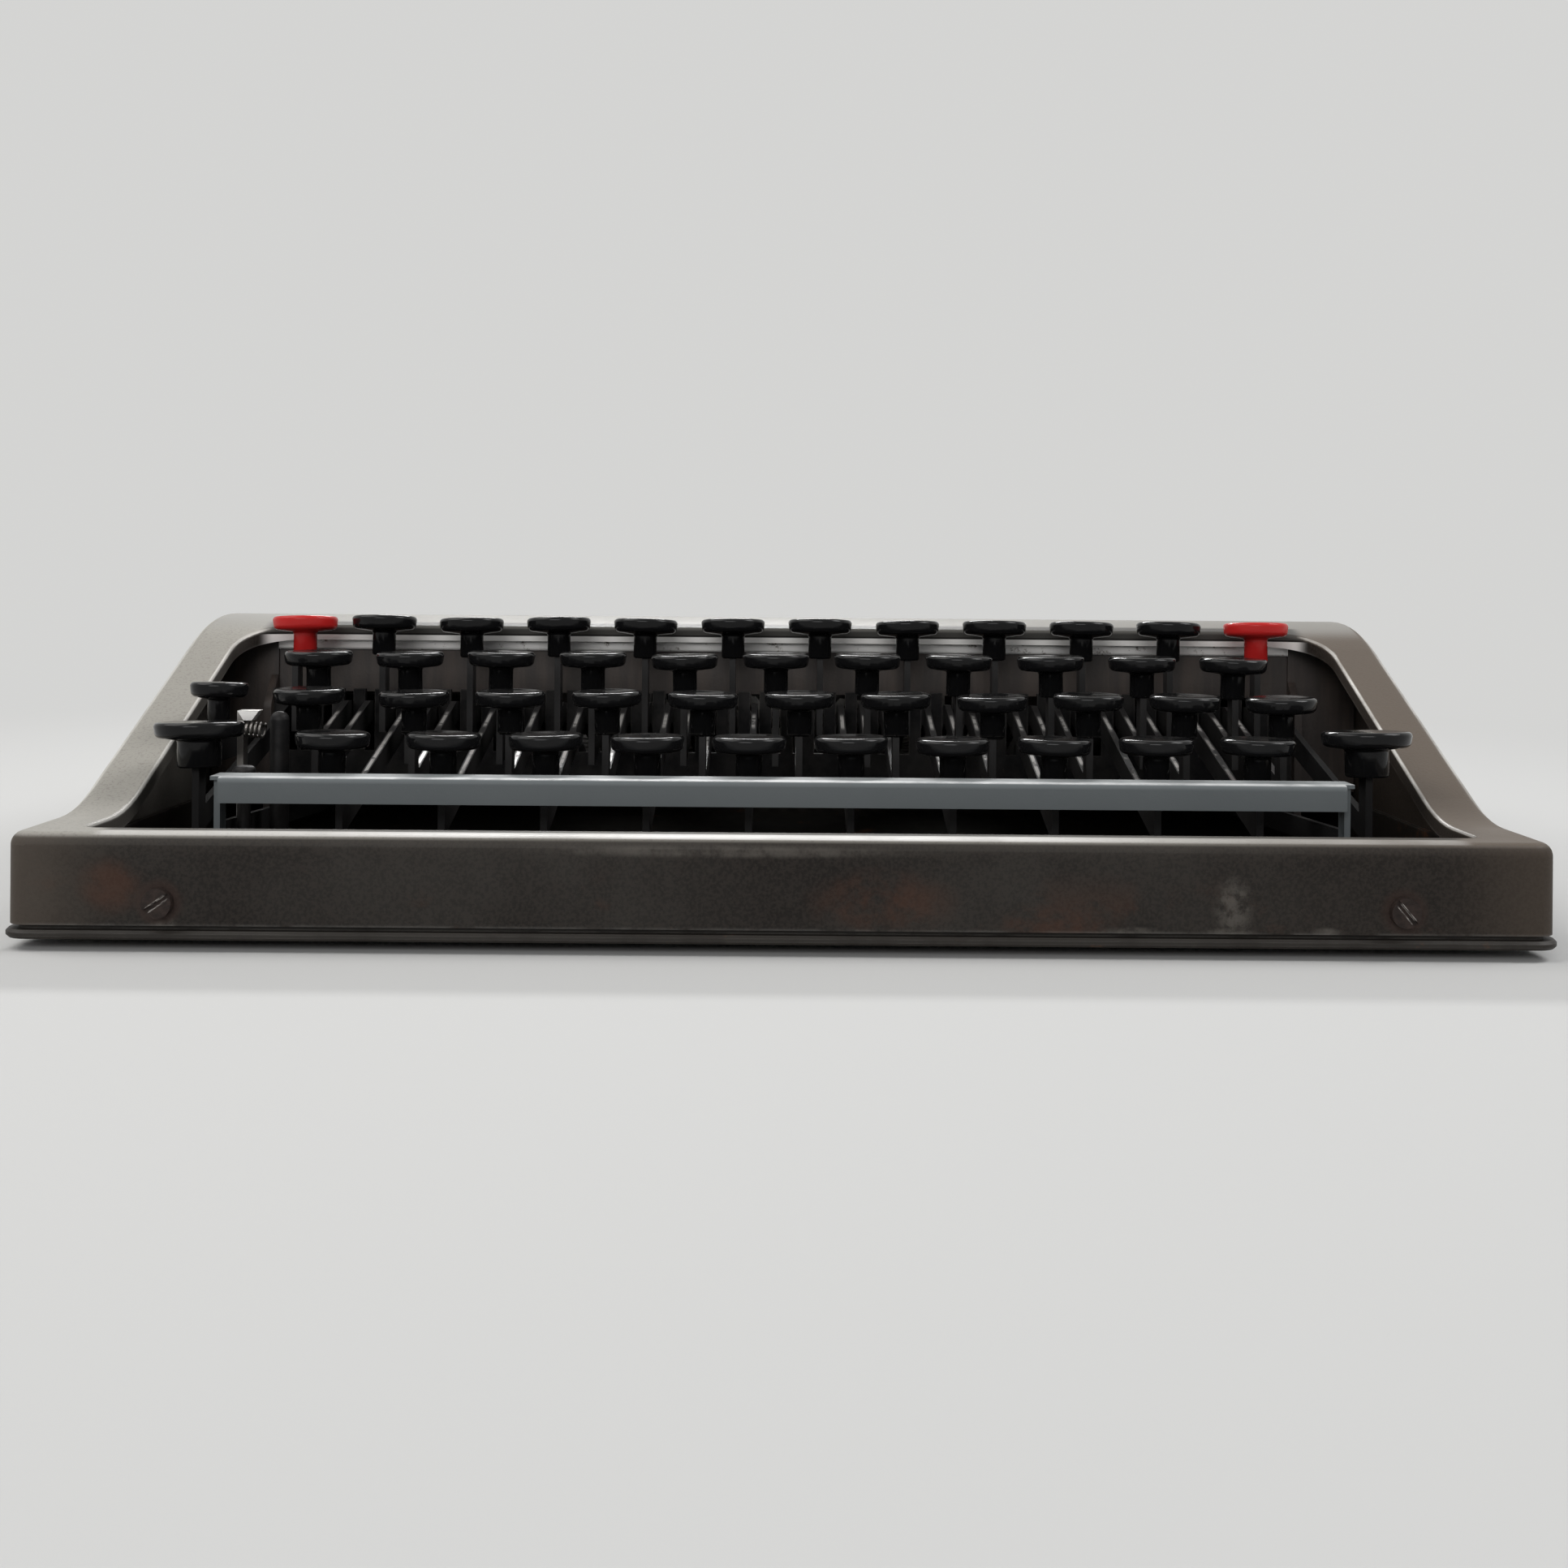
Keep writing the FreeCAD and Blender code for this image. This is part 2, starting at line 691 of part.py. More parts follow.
rolled = doc.addObject("Part::Fillet", "rolled_lip")
rolled.Base = shell
lip_round = value("lip_round")
rolled.Edges = [
    (index, lip_round, lip_round) for index, edge in enumerate(shell.Shape.Edges, start=1) if on_lip(edge)
]
doc.recompute()
node("body_shell", [rolled])

# Base tray: a floor with a rolled rim that shows below the case, and a wall the case is screwed to.
tray = doc.addObject("PartDesign::Body", "tray")
tray_floor = draw(tray, "tray_floor", "XY_Plane", [
    rounded_plan("half_width + tray_overhang", "front - tray_overhang", "rear + tray_overhang",
                 "plan_round + tray_overhang", "plan_round + tray_overhang")
], offset="foot_height")
tray_plate = pad(tray, tray_floor, "tray_gauge", symmetric=False)
doc.recompute()
rim = tray.newObject("PartDesign::Chamfer", "tray_rim")
rim.Base = (tray_plate, [f"Edge{index}" for index, edge in enumerate(tray_plate.Shape.Edges, start=1)
                       if not upright(edge)])
rim.setExpression("Size", formula("tray_gauge * 0.3"))
wall_out = "half_width - wall_gauge - seat_gap"
tray_wall = draw(tray, "tray_wall", "XY_Plane", [
    rounded_plan(wall_out, "front + wall_gauge + seat_gap", "rear - wall_gauge - seat_gap",
                 "plan_round - wall_gauge - seat_gap", "plan_round - wall_gauge - seat_gap"),
    rounded_plan(f"{wall_out} - wall_gauge", "front + 2 * wall_gauge + seat_gap",
                 "rear - 2 * wall_gauge - seat_gap", "plan_round - 2 * wall_gauge - seat_gap",
                 "plan_round - 2 * wall_gauge - seat_gap"),
], offset="floor - 0.5")
pad(tray, tray_wall, "upstand_height", symmetric=False)
doc.recompute()
tray_holes = []
screws = []
screw_head_end = "screw_head_height + wall_gauge + seat_gap + wall_gauge + 3"
for side, sign in (("left", "-"), ("right", "")):
    x = f"{sign}(half_width - screw_inset)"
    for end, start, inside, axis in (
        ("front", "front - screw_head_height", "front + wall_gauge", (0, 1, 0)),
        ("rear", "rear + screw_head_height", "rear - wall_gauge", (0, -1, 0)),
    ):
        tray_holes.append(rod(f"tray_hole_{end}_{side}", "screw_shank + 0.02", "10", x, inside,
                              "screw_height", axis))
        head = rod(f"screw_head_{end}_{side}", "screw_head", "screw_head_height", x, start,
                   "screw_height", axis)
        shank = rod(f"screw_shank_{end}_{side}", "screw_shank", screw_head_end, x, start,
                    "screw_height", axis)
        slot = box(f"screw_slot_{end}_{side}", ("-screw_slot / 2", "screw_slot / 2"),
                   ("-screw_head_height * 0.45", "screw_head_height * 0.45"), ("-screw_head", "screw_head"))
        turned = group(f"screw_slot_turned_{end}_{side}", [slot])
        turned.Placement.Rotation = FreeCAD.Rotation(FreeCAD.Vector(0, 1, 0), 55 if side == "left" else -40)
        place(turned, x, start, "screw_height")
        screws.append(cut(f"screw_{end}_{side}", fuse(f"screw_blank_{end}_{side}", [head, shank]), turned))
tray_done = cut("tray_drilled", tray, group("tray_holes", tray_holes))
node("base_tray", [tray_done])
node("shell_screws", screws)

# Rubber feet: four pads under the tray, on which the machine rests.
feet = []
foot = turned_part("foot", [
    ("0", "0"),
    ("foot_radius - 0.6", "0"),
    ("foot_radius", "0.6"),
    ("foot_radius", "foot_height"),
    ("0", "foot_height"),
])
for side, x in (("left", "foot_inset - half_width"), ("right", "half_width - foot_inset")):
    for end, y in (("front", "front + foot_inset"), ("rear", "rear - foot_inset")):
        stands = group(f"foot_{end}_{side}", [foot])
        place(stands, x, y)
        feet.append(stands)
node("rubber_feet", feet)

# Lever frame: two side plates, the fulcrum rod, the bridge that carries the type segment, spool shelves.
plate_outline = [
    ("comb_y - 3", "floor"),
    ("hinge_y + 7", "floor"),
    ("hinge_y + 7", "deck_height - wall_gauge - 1", "3"),
    ("cover_rear - 2", "deck_height - wall_gauge - 1", "3"),
    ("cover_rear - 12", "cover_height - wall_gauge - 8", "4"),
    ("slope_head + 8", "cover_height - wall_gauge - 2.5", "4"),
    ("comb_y - 3", "comb_top - 3", "3"),
]
plate_holes = [
    ("fulcrum_y", "fulcrum_height", "fulcrum_radius + 0.02"),
    ("hinge_y", "hinge_height", "hinge_radius + running_clearance"),
]
left_plate = sheet_part("plate_left", "YZ_Plane", [plate_outline], "plate_gauge", plate_holes, "-plate_x")
right_plate = sheet_part("plate_right", "YZ_Plane", [plate_outline], "plate_gauge", plate_holes, "plate_x")
fulcrum = rod("fulcrum_rod", "fulcrum_radius", "2 * plate_x + 3 * plate_gauge",
              "-plate_x - 1.5 * plate_gauge", "fulcrum_y", "fulcrum_height", axis=(1, 0, 0))
plate_inside = "(plate_x - plate_gauge / 2)"
bridge = box("segment_bridge", (f"-{plate_inside}", plate_inside),
             ("basket_y + 5", "basket_y + 5 + bridge_depth"),
             ("bridge_floor", "bridge_floor + bridge_height"))
frame_solids = [left_plate, right_plate, fulcrum, bridge]
for side, sign in (("left", "-"), ("right", "")):
    inner_x = f"{sign}{plate_inside}"
    far_x = f"{sign}({plate_inside} - 2 * spool_radius - 6)"
    ends = (inner_x, far_x) if side == "left" else (far_x, inner_x)
    shelf = box(f"spool_shelf_{side}", ends, ("spool_y - 14", "spool_y + 14"),
                ("shelf_top - spool_shelf", "shelf_top"))
    post = rod(f"spool_post_{side}", "spool_post", "spool_width + 3", f"{sign}spool_x", "spool_y",
               "shelf_top - 0.5")
    frame_solids.append(fuse(f"spool_stand_{side}", [shelf, post]))
node("lever_frame", frame_solids)

# Key bed: the comb that guides the levers, the panel behind the keys, the shift latch and a space bar stop.
comb = doc.addObject("PartDesign::Body", "comb")
comb_plate = draw(comb, "comb_plate", "XZ_Plane", [[
    (f"-{plate_inside}", "comb_floor"),
    (plate_inside, "comb_floor"),
    (plate_inside, "comb_top"),
    (f"-{plate_inside}", "comb_top"),
]], offset="-comb_y")
pad(comb, comb_plate, "comb_gauge")
slot_half = "(lever_gauge / 2 + slot_clearance)"
comb_slot = draw(comb, "comb_slot", "XZ_Plane", [[
    (f"-5.58 * key_pitch - {slot_half}", "slot_floor"),
    (f"-5.58 * key_pitch + {slot_half}", "slot_floor"),
    (f"-5.58 * key_pitch + {slot_half}", "comb_top + 2"),
    (f"-5.58 * key_pitch - {slot_half}", "comb_top + 2"),
]], offset="-comb_y")
slot_cut = comb.newObject("PartDesign::Pocket", "comb_slot_cut")
slot_cut.Profile = comb_slot
slot_cut.SideType = "Symmetric"
slot_cut.setExpression("Length", formula("comb_gauge * 3"))
doc.recompute()
slots = comb.newObject("PartDesign::LinearPattern", "comb_slots")
slots.Originals = [slot_cut]
slots.Direction = (comb_slot, ["H_Axis"])
slots.Occurrences = COMB_SLOTS
slots.setExpression("Length", formula(f"key_pitch / 4 * {COMB_SLOTS - 1}"))
comb.Tip = slots
doc.recompute()
shift_slots = []
for side, sign in (("left", "-"), ("right", "")):
    at = f"{sign}shift_x"
    shift_slots.append(box(f"shift_slot_{side}", (f"{at} - {slot_half}", f"{at} + {slot_half}"),
                           ("comb_y - 5", "comb_y + 5"), ("slot_floor", "comb_top + 2")))
comb_done = cut("comb_done", comb, group("shift_slots", shift_slots))
panel = sheet_part("back_panel", "YZ_Plane", [[
    ("panel_y", "arch_top + 1.2"),
    ("panel_y + panel_gauge", "arch_top + 1.2"),
    ("panel_y + panel_gauge", "panel_top"),
    ("panel_y - 0.8", "panel_top", "0.5"),
    ("panel_y - 0.8", "panel_top - panel_strip", "0.5"),
    ("panel_y", "panel_top - panel_strip"),
]], f"2 * {plate_inside}")
latch_y = "(row_4 + 12.5)"
latch_stand = sheet_part("latch_stand", "XZ_Plane", [[
    ("-arm_x - 4.5", "floor"),
    ("-arm_x - 3.3", "floor"),
    ("-arm_x - 3.3", "front_key_height + 0.9"),
    ("-arm_x - 1.7", "front_key_height + 0.9"),
    ("-arm_x - 0.3", "front_key_height + 2.8"),
    ("-arm_x - 4.5", "front_key_height + 2.8"),
]], "3", offset=f"-{latch_y}")
latch_post = turned_part("latch_post_shape", [
    ("0", "floor"),
    ("1.8", "floor"),
    ("1.8", "front_key_height + 3", "1.6"),
    ("0", "front_key_height + 3"),
])
latch_head = group("latch_post", [latch_post])
place(latch_head, "-arm_x + 4.6", "row_4 + 8")
bar_stop_shape = turned_part("bar_stop_shape", [
    ("0", "floor"),
    ("1.2", "floor"),
    ("1.2", "bar_height - 1.5"),
    ("2.1", "bar_height - 1.5"),
    ("2.1", "bar_height + 1", "0.9"),
    ("0", "bar_height + 1"),
])
bar_stop = group("bar_stop", [bar_stop_shape])
place(bar_stop, "-arm_x + 2.6", "bar_y + 10")
node("key_bed", [comb_done, panel, latch_stand, latch_head, bar_stop])

# Type basket: a slotted half ring that carries the typebars, tilted towards the typist.
half_ring = doc.addObject("Part::Cylinder", "segment_half")
half_ring.setExpression("Radius", formula("segment_outer"))
half_ring.setExpression("Height", formula("segment_gauge"))
half_ring.Angle = 180
half_ring.Placement.Rotation = FreeCAD.Rotation(FreeCAD.Vector(0, 0, 1), 180)
place(half_ring, "0", "0", "-segment_gauge / 2")
bore = rod("segment_bore", "segment_inner", "segment_gauge + 2", "0", "0", "-segment_gauge / 2 - 1")
slot_box = box("segment_slot_shape", ("-segment_slot / 2", "segment_slot / 2"),
               ("-segment_outer - 1", "-segment_inner + 1"),
               ("segment_web - segment_gauge / 2", "segment_gauge / 2 + 1"))
typebar_body = sheet_part("typebar_shape", "YZ_Plane", [[
    ("-segment_inner - 1", "segment_web - segment_gauge / 2 + 0.2"),
    ("-segment_inner - 1", "segment_gauge / 2 + 0.6"),
    ("-segment_outer - 2", "segment_gauge / 2 - 0.6"),
    ("-typebar_reach + 3.4", "1.4"),
    ("-typebar_reach + 3.4", "-1.4"),
    ("-segment_outer - 2", "segment_web - segment_gauge / 2 + 0.4"),
]], "typebar_gauge")
slug = box("slug_shape", ("-slug_width / 2", "slug_width / 2"), ("-typebar_reach", "-typebar_reach + 3.6"),
           ("-2.2", "3.4"))
typebar = fuse("typebar", [typebar_body, slug])
slot_tools = []
typebars = []
for number in range(TYPEBARS):
    swing = FreeCAD.Rotation(
        FreeCAD.Vector(0, 0, 1), value("basket_spread") * (number / (TYPEBARS - 1) - 0.5)
    )
    for shape, made, name in ((slot_box, slot_tools, "segment_slot"), (typebar, typebars, "typebar")):
        copy = group(f"{name}_{number + 1:02d}", [shape])
        copy.Placement.Rotation = swing
        made.append(copy)
segment = cut("segment", cut("segment_ring", half_ring, bore), group("segment_slots", slot_tools))
basket = group("basket", [segment] + typebars)
basket.Placement.Rotation = FreeCAD.Rotation(FreeCAD.Vector(1, 0, 0), -SIZES["basket_tilt"])
place(basket, "0", "basket_y", "basket_height")
feet_x = (("left", "-segment_outer", "-segment_inner"), ("right", "segment_inner", "segment_outer"))
lugs = []
for side, low, high in feet_x:
    lugs.append(box(f"segment_lug_{side}", (low, high), ("basket_y + 1.8", "basket_y + 5"),
                    ("bridge_floor", "basket_height + segment_gauge / 2 - 1")))
node("type_basket", [basket] + lugs)

# Shift frame: two rails on side arms, hinged at the back so that the carriage rises for capitals.
rail_span = ("-rail_half", "rail_half")
rail_rise = ("rail_top - rail_gauge", "rail_top")
rail_solids = [
    box("rail_front", rail_span, ("platen_y - 6", "platen_y - 1"), rail_rise),
    box("rail_rear", rail_span, ("hinge_y - 12", "hinge_y - 7"), rail_rise),
]
for side, arm_span, pin_start, outward in (
    ("left", ("-rail_half", "4 - rail_half"), "2 - rail_half", (-1, 0, 0)),
    ("right", ("rail_half - 4", "rail_half"), "rail_half - 2", (1, 0, 0)),
):
    rail_solids.append(box(f"rail_arm_{side}", arm_span, ("platen_y - 6", "hinge_y - 3"), rail_rise))
    rail_solids.append(box(f"rail_ear_{side}", arm_span, ("hinge_y - 5", "hinge_y + 3"),
                           ("hinge_height - 3", "deck_height - wall_gauge - 0.5")))
    rail_solids.append(rod(f"rail_pin_{side}", "hinge_radius", "plate_x + plate_gauge - rail_half + 2",
                           pin_start, "hinge_y", "hinge_height", outward))
node("carriage_rail", [fuse("rail_work", rail_solids)])

# Carriage: a base plate on the rails, end plates for the platen and a paper table behind it.
end_outline = [
    ("platen_y - platen_radius - 2", "carriage_floor"),
    ("platen_y + 42", "carriage_floor"),
    ("platen_y + 42", "platen_height - 2", "5"),
    ("platen_y + 16", "platen_height + 9", "6"),
    ("platen_y - platen_radius - 2", "platen_height + 9", "8"),
]
end_holes = [("platen_y", "platen_height", "axle_radius + running_clearance")]
end_solids = []
for side, sign in (("left", "-"), ("right", "")):
    end_solids.append(sheet_part(f"end_plate_{side}", "YZ_Plane", [end_outline], "end_plate_gauge",
                                 end_holes, f"{sign}end_x"))
base = box("carriage_base", ("-end_x", "end_x"), ("platen_y - platen_radius", "hinge_y - 6"),
           ("carriage_floor", "carriage_floor + base_gauge"))
paper_table = sheet_part("paper_table", "YZ_Plane", [[
    ("table_y - 1", "carriage_floor + 1"),
    ("table_y - 1 + table_gauge", "carriage_floor + 1"),
    ("table_y + table_gauge", "platen_height - 6", "6"),
    ("table_y + 19 + table_gauge", "platen_height + 11"),
    ("table_y + 19", "platen_height + 11"),
    ("table_y", "platen_height - 6", "6"),
]], "2 * (platen_half - 1)")
post_y = "(platen_y + 2 - platen_radius)"
return_post = rod("return_post_rod", "return_post", "return_height + return_gauge + 0.9 - platen_height",
                  "-end_x", post_y, "platen_height")
carriage = fuse("carriage_work", end_solids + [base, paper_table, return_post])
node("carriage_frame", [carriage])

# Platen: the roller with its axle and two finger knobs.
platen = turned_part("platen_shape", [
    ("0", "-knob_start - knob_length"),
    ("knob_radius - 1", "-knob_start - knob_length"),
    ("knob_radius", "-knob_start - knob_length + 1"),
    ("knob_radius", "-knob_start"),
    ("axle_radius", "-knob_start"),
    ("axle_radius", "-platen_half"),
    ("platen_radius - 0.6", "-platen_half"),
    ("platen_radius", "-platen_half + 0.6"),
    ("platen_radius", "platen_half - 0.6"),
    ("platen_radius - 0.6", "platen_half"),
    ("axle_radius", "platen_half"),
    ("axle_radius", "knob_start"),
    ("knob_radius", "knob_start"),
    ("knob_radius", "knob_start + knob_length - 1"),
    ("knob_radius - 1", "knob_start + knob_length"),
    ("0", "knob_start + knob_length"),
])
laid = group("platen_laid", [platen])
laid.Placement.Rotation = FreeCAD.Rotation(FreeCAD.Vector(0, 1, 0), 90)
place(laid, "0", "platen_y", "platen_height")
node("platen", [laid])

# Carriage return lever: a flat arm on the left end of the carriage, folded back when at rest.
return_x = "-end_x"
return_arm = sheet_part("return_arm", "XY_Plane", [[
    (f"{return_x} - 4", f"{post_y} - 5", "3.6"),
    (f"{return_x} + 4", f"{post_y} - 5", "3.6"),
    (f"{return_x} + 3", f"{post_y} + return_length", "2.5"),
    (f"{return_x} - 3", f"{post_y} + return_length", "2.5"),
]], "return_gauge", circles=[(return_x, post_y, "return_post + running_clearance")], offset="return_height",
    symmetric=False)
node("return_lever", [return_arm])

# Ribbon spools: two flanged reels that turn on posts under the cover.
spool = turned_part("spool_shape", [
    ("spool_post + running_clearance", "0"),
    ("spool_radius", "0"),
    ("spool_radius", "spool_flange"),
    ("spool_roll", "spool_flange"),
    ("spool_roll", "spool_width - spool_flange"),
    ("spool_radius", "spool_width - spool_flange"),
    ("spool_radius", "spool_width"),
    ("spool_post + running_clearance", "spool_width"),
])
for side, x in (("left", "-spool_x"), ("right", "spool_x")):
    reel = group(f"spool_{side}", [spool])
    place(reel, x, "spool_y", "shelf_top + slide_gap")
    node(f"ribbon_spool_{side}", [reel])

doc.recompute()
for item in doc.Objects:
    if any(word in item.State for word in ("Invalid", "Error")):
        raise RuntimeError(f"{item.Name} did not build: {item.State}")
os.makedirs("parts", exist_ok=True)
for part in nodes:
    if part.Shape.isNull() or not part.Shape.isValid():
        raise RuntimeError(f"{part.Label} has no sound shape")
    part.Shape.exportStep(os.path.join("parts", f"{part.Label}.step"))
print(len(nodes), "nodes")
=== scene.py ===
"""Flat portable typewriter: materials, smooth keytops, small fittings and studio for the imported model.

X runs to the typist's right, Y from the typist to the back, Z up from the table. Sizes and places on the
machine are in millimetres. The lamps and the camera are in metres, and patterns in cells to the metre.
"""
import math

import bpy
import numpy as np
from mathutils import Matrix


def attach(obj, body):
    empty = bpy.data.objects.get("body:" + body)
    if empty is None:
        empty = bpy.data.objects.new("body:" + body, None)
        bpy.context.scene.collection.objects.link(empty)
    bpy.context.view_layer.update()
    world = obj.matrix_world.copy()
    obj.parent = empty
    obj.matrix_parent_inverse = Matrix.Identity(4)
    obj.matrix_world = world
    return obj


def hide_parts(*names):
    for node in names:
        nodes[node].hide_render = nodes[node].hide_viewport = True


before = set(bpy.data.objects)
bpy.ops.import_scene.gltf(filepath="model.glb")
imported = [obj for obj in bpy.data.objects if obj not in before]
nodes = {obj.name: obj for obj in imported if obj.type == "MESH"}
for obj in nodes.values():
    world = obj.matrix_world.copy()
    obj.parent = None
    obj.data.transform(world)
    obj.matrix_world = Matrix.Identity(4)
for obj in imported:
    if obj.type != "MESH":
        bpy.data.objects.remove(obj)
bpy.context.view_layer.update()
MM = 0.001


# Base tray: a pressed sheet steel floor, sprayed a dark brown-grey.
# Its rolled rim shows as a thin edge all round under the case, rubbed paler by tables.
def effect(name, inputs, outputs):
    """Start a shader node group: inputs are (name, kind, default), outputs are (name, kind)."""
    tree = bpy.data.node_groups.new(name, "ShaderNodeTree")
    for label, kind, default in inputs:
        socket = tree.interface.new_socket(label, in_out="INPUT", socket_type=f"NodeSocket{kind}")
        if default is not None:
            socket.default_value = default
    for label, kind in outputs:
        tree.interface.new_socket(label, in_out="OUTPUT", socket_type=f"NodeSocket{kind}")
    return tree, tree.nodes.new("NodeGroupInput").outputs, tree.nodes.new("NodeGroupOutput").inputs


def fill(tree, node, inputs):
    """Set a node's inputs: one that is given a socket is linked to it, any other takes the value."""
    for key, given in inputs.items():
        if isinstance(given, bpy.types.NodeSocket):
            tree.links.new(given, node.inputs[key])
        else:
            node.inputs[key].default_value = given


def add(tree, kind, inputs, **choices):
    """Add a shader node, with its choices made before its inputs are set."""
    node = tree.nodes.new(f"ShaderNode{kind}")
    for key, choice in choices.items():
        setattr(node, key, choice)
    fill(tree, node, inputs)
    return node


def apply(tree, group, inputs):
    """Place a shared effect in a material and return its outputs."""
    node = tree.nodes.new("ShaderNodeGroup")
    node.node_tree = group
    fill(tree, node, inputs)
    return node.outputs


def over(tree, mask, below, above):
    """One colour laid over another where a mask says so."""
    return add(tree, "Mix", {0: mask, 6: below, 7: above}, data_type="RGBA").outputs[2]


def joined(tree, operation, values):
    """Values joined one after another by a math operation, each result kept between 0 and 1."""
    total = values[0]
    for value in values[1:]:
        total = add(tree, "Math", {0: total, 1: value}, operation=operation, use_clamp=True).outputs[0]
    return total


def times(tree, *factors):
    """Masks and shares multiplied: what all of them let through."""
    return joined(tree, "MULTIPLY", factors)


def highest(tree, *masks):
    """The strongest of several masks at each place."""
    return joined(tree, "MAXIMUM", masks)


def less(tree, mask, *others):
    """A mask with others taken away."""
    return joined(tree, "SUBTRACT", (mask, *others))


def span(tree, given, low, high, bottom=0.0, top=1.0):
    """A value carried smoothly from one range to another."""
    given_range = {"Value": given, "From Min": low, "From Max": high, "To Min": bottom, "To Max": top}
    return add(tree, "MapRange", given_range, interpolation_type="SMOOTHSTEP").outputs[0]


def noise(tree, where, scale, detail=3.0, roughness=0.55):
    """Cloudy noise at a scale in cells to the metre."""
    settings = {"Vector": where, "Scale": scale, "Detail": detail, "Roughness": roughness}
    return add(tree, "TexNoise", settings).outputs["Fac"]


mottle, given, result = effect(
    "mottle", [("Where", "Vector", None), ("Grain Scale", "Float", 2500.0), ("Cloud Scale", "Float", 40.0)],
    [("Grain", "Float"), ("Cloud", "Float")],
)
grain = noise(mottle, given["Where"], given["Grain Scale"], detail=2.0)
cloud = noise(mottle, given["Where"], given["Cloud Scale"], detail=6.0, roughness=0.6)
mottle.links.new(grain, result["Grain"])
mottle.links.new(cloud, result["Cloud"])

worn_edge, given, result = effect(
    "worn edge", [("Where", "Vector", None), ("Reach", "Float", 0.6 * MM), ("Patch Scale", "Float", 260.0)],
    [("Mask", "Float")],
)
rounded = add(worn_edge, "Bevel", {"Radius": given["Reach"]}, samples=4).outputs[0]
flat = worn_edge.nodes.new("ShaderNodeNewGeometry").outputs["Normal"]
bend = add(worn_edge, "VectorMath", {0: rounded, 1: flat}, operation="DOT_PRODUCT").outputs["Value"]
corner = span(worn_edge, bend, 0.97, 0.80)
patch = span(worn_edge, noise(worn_edge, given["Where"], given["Patch Scale"], detail=5.0), 0.34, 0.56)
worn_edge.links.new(times(worn_edge, corner, patch), result["Mask"])

rust_bloom, given, result = effect(
    "rust bloom", [("Where", "Vector", None), ("Scale", "Float", 60.0), ("Least", "Float", 0.6)],
    [("Mask", "Float")],
)
bloom = noise(rust_bloom, given["Where"], given["Scale"], detail=8.0, roughness=0.68)
rust_bloom.links.new(span(rust_bloom, less(rust_bloom, bloom, given["Least"]), 0.0, 0.10), result["Mask"])


def finish_of(name):
    """A new material, with its tree, its shader and the object coordinates that it reads."""
    made = bpy.data.materials.new(name)
    made.use_nodes = True
    tree = made.node_tree
    shader = tree.nodes["Principled BSDF"]
    where = tree.nodes.new("ShaderNodeTexCoord").outputs["Object"]
    return made, tree, shader, where


def lay(tree, shader, coat, rough, metal=None, gloss=None):
    """Join a coat's colour, roughness and bare metal to its shader, and set the level of its gloss."""
    tree.links.new(coat, shader.inputs["Base Color"])
    tree.links.new(rough, shader.inputs["Roughness"])
    if metal is not None:
        tree.links.new(metal, shader.inputs["Metallic"])
    if gloss is not None:
        shader.inputs["Specular IOR Level"].default_value = gloss


def relief(tree, shader, height, depth, strength=0.5):
    """Raise a surface by a height pattern, depth in millimetres."""
    bump = add(tree, "Bump", {"Height": height, "Distance": depth * MM, "Strength": strength})
    tree.links.new(bump.outputs["Normal"], shader.inputs["Normal"])


def dress(name, *finishes):
    """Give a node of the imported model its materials."""
    slots = nodes[name].data.materials
    slots.clear()
    for finish in finishes:
        slots.append(finish)


tray_paint, tree, shader, where = finish_of("tray paint")
spots = apply(tree, mottle, {"Where": where, "Grain Scale": 2200.0, "Cloud Scale": 55.0})
wear = apply(tree, worn_edge, {"Where": where, "Reach": 0.7 * MM, "Patch Scale": 140.0})["Mask"]
rust = apply(tree, rust_bloom, {"Where": where, "Scale": 80.0, "Least": 0.60})["Mask"]
coat = over(tree, spots["Cloud"], (0.013, 0.0105, 0.0085, 1), (0.029, 0.0245, 0.0205, 1))
coat = over(tree, rust, coat, (0.11, 0.05, 0.025, 1))
coat = over(tree, wear, coat, (0.10, 0.094, 0.085, 1))
rough = span(tree, spots["Cloud"], 0.2, 0.8, 0.62, 0.42)
lay(tree, shader, coat, rough, metal=times(tree, wear, 0.4), gloss=0.25)
relief(tree, shader, spots["Grain"], 0.06)
dress("base_tray", tray_paint)


# Rubber feet: moulded black pads under the tray.
# The rubber is dull, and greyed in clouds by dust.
foot_rubber, tree, shader, where = finish_of("foot rubber")
spots = apply(tree, mottle, {"Where": where, "Grain Scale": 3000.0, "Cloud Scale": 120.0})
coat = over(tree, spots["Cloud"], (0.012, 0.012, 0.012, 1), (0.05, 0.047, 0.043, 1))
lay(tree, shader, coat, span(tree, spots["Cloud"], 0.3, 0.7, 0.7, 0.9))
relief(tree, shader, spots["Grain"], 0.08)
dress("rubber_feet", foot_rubber)


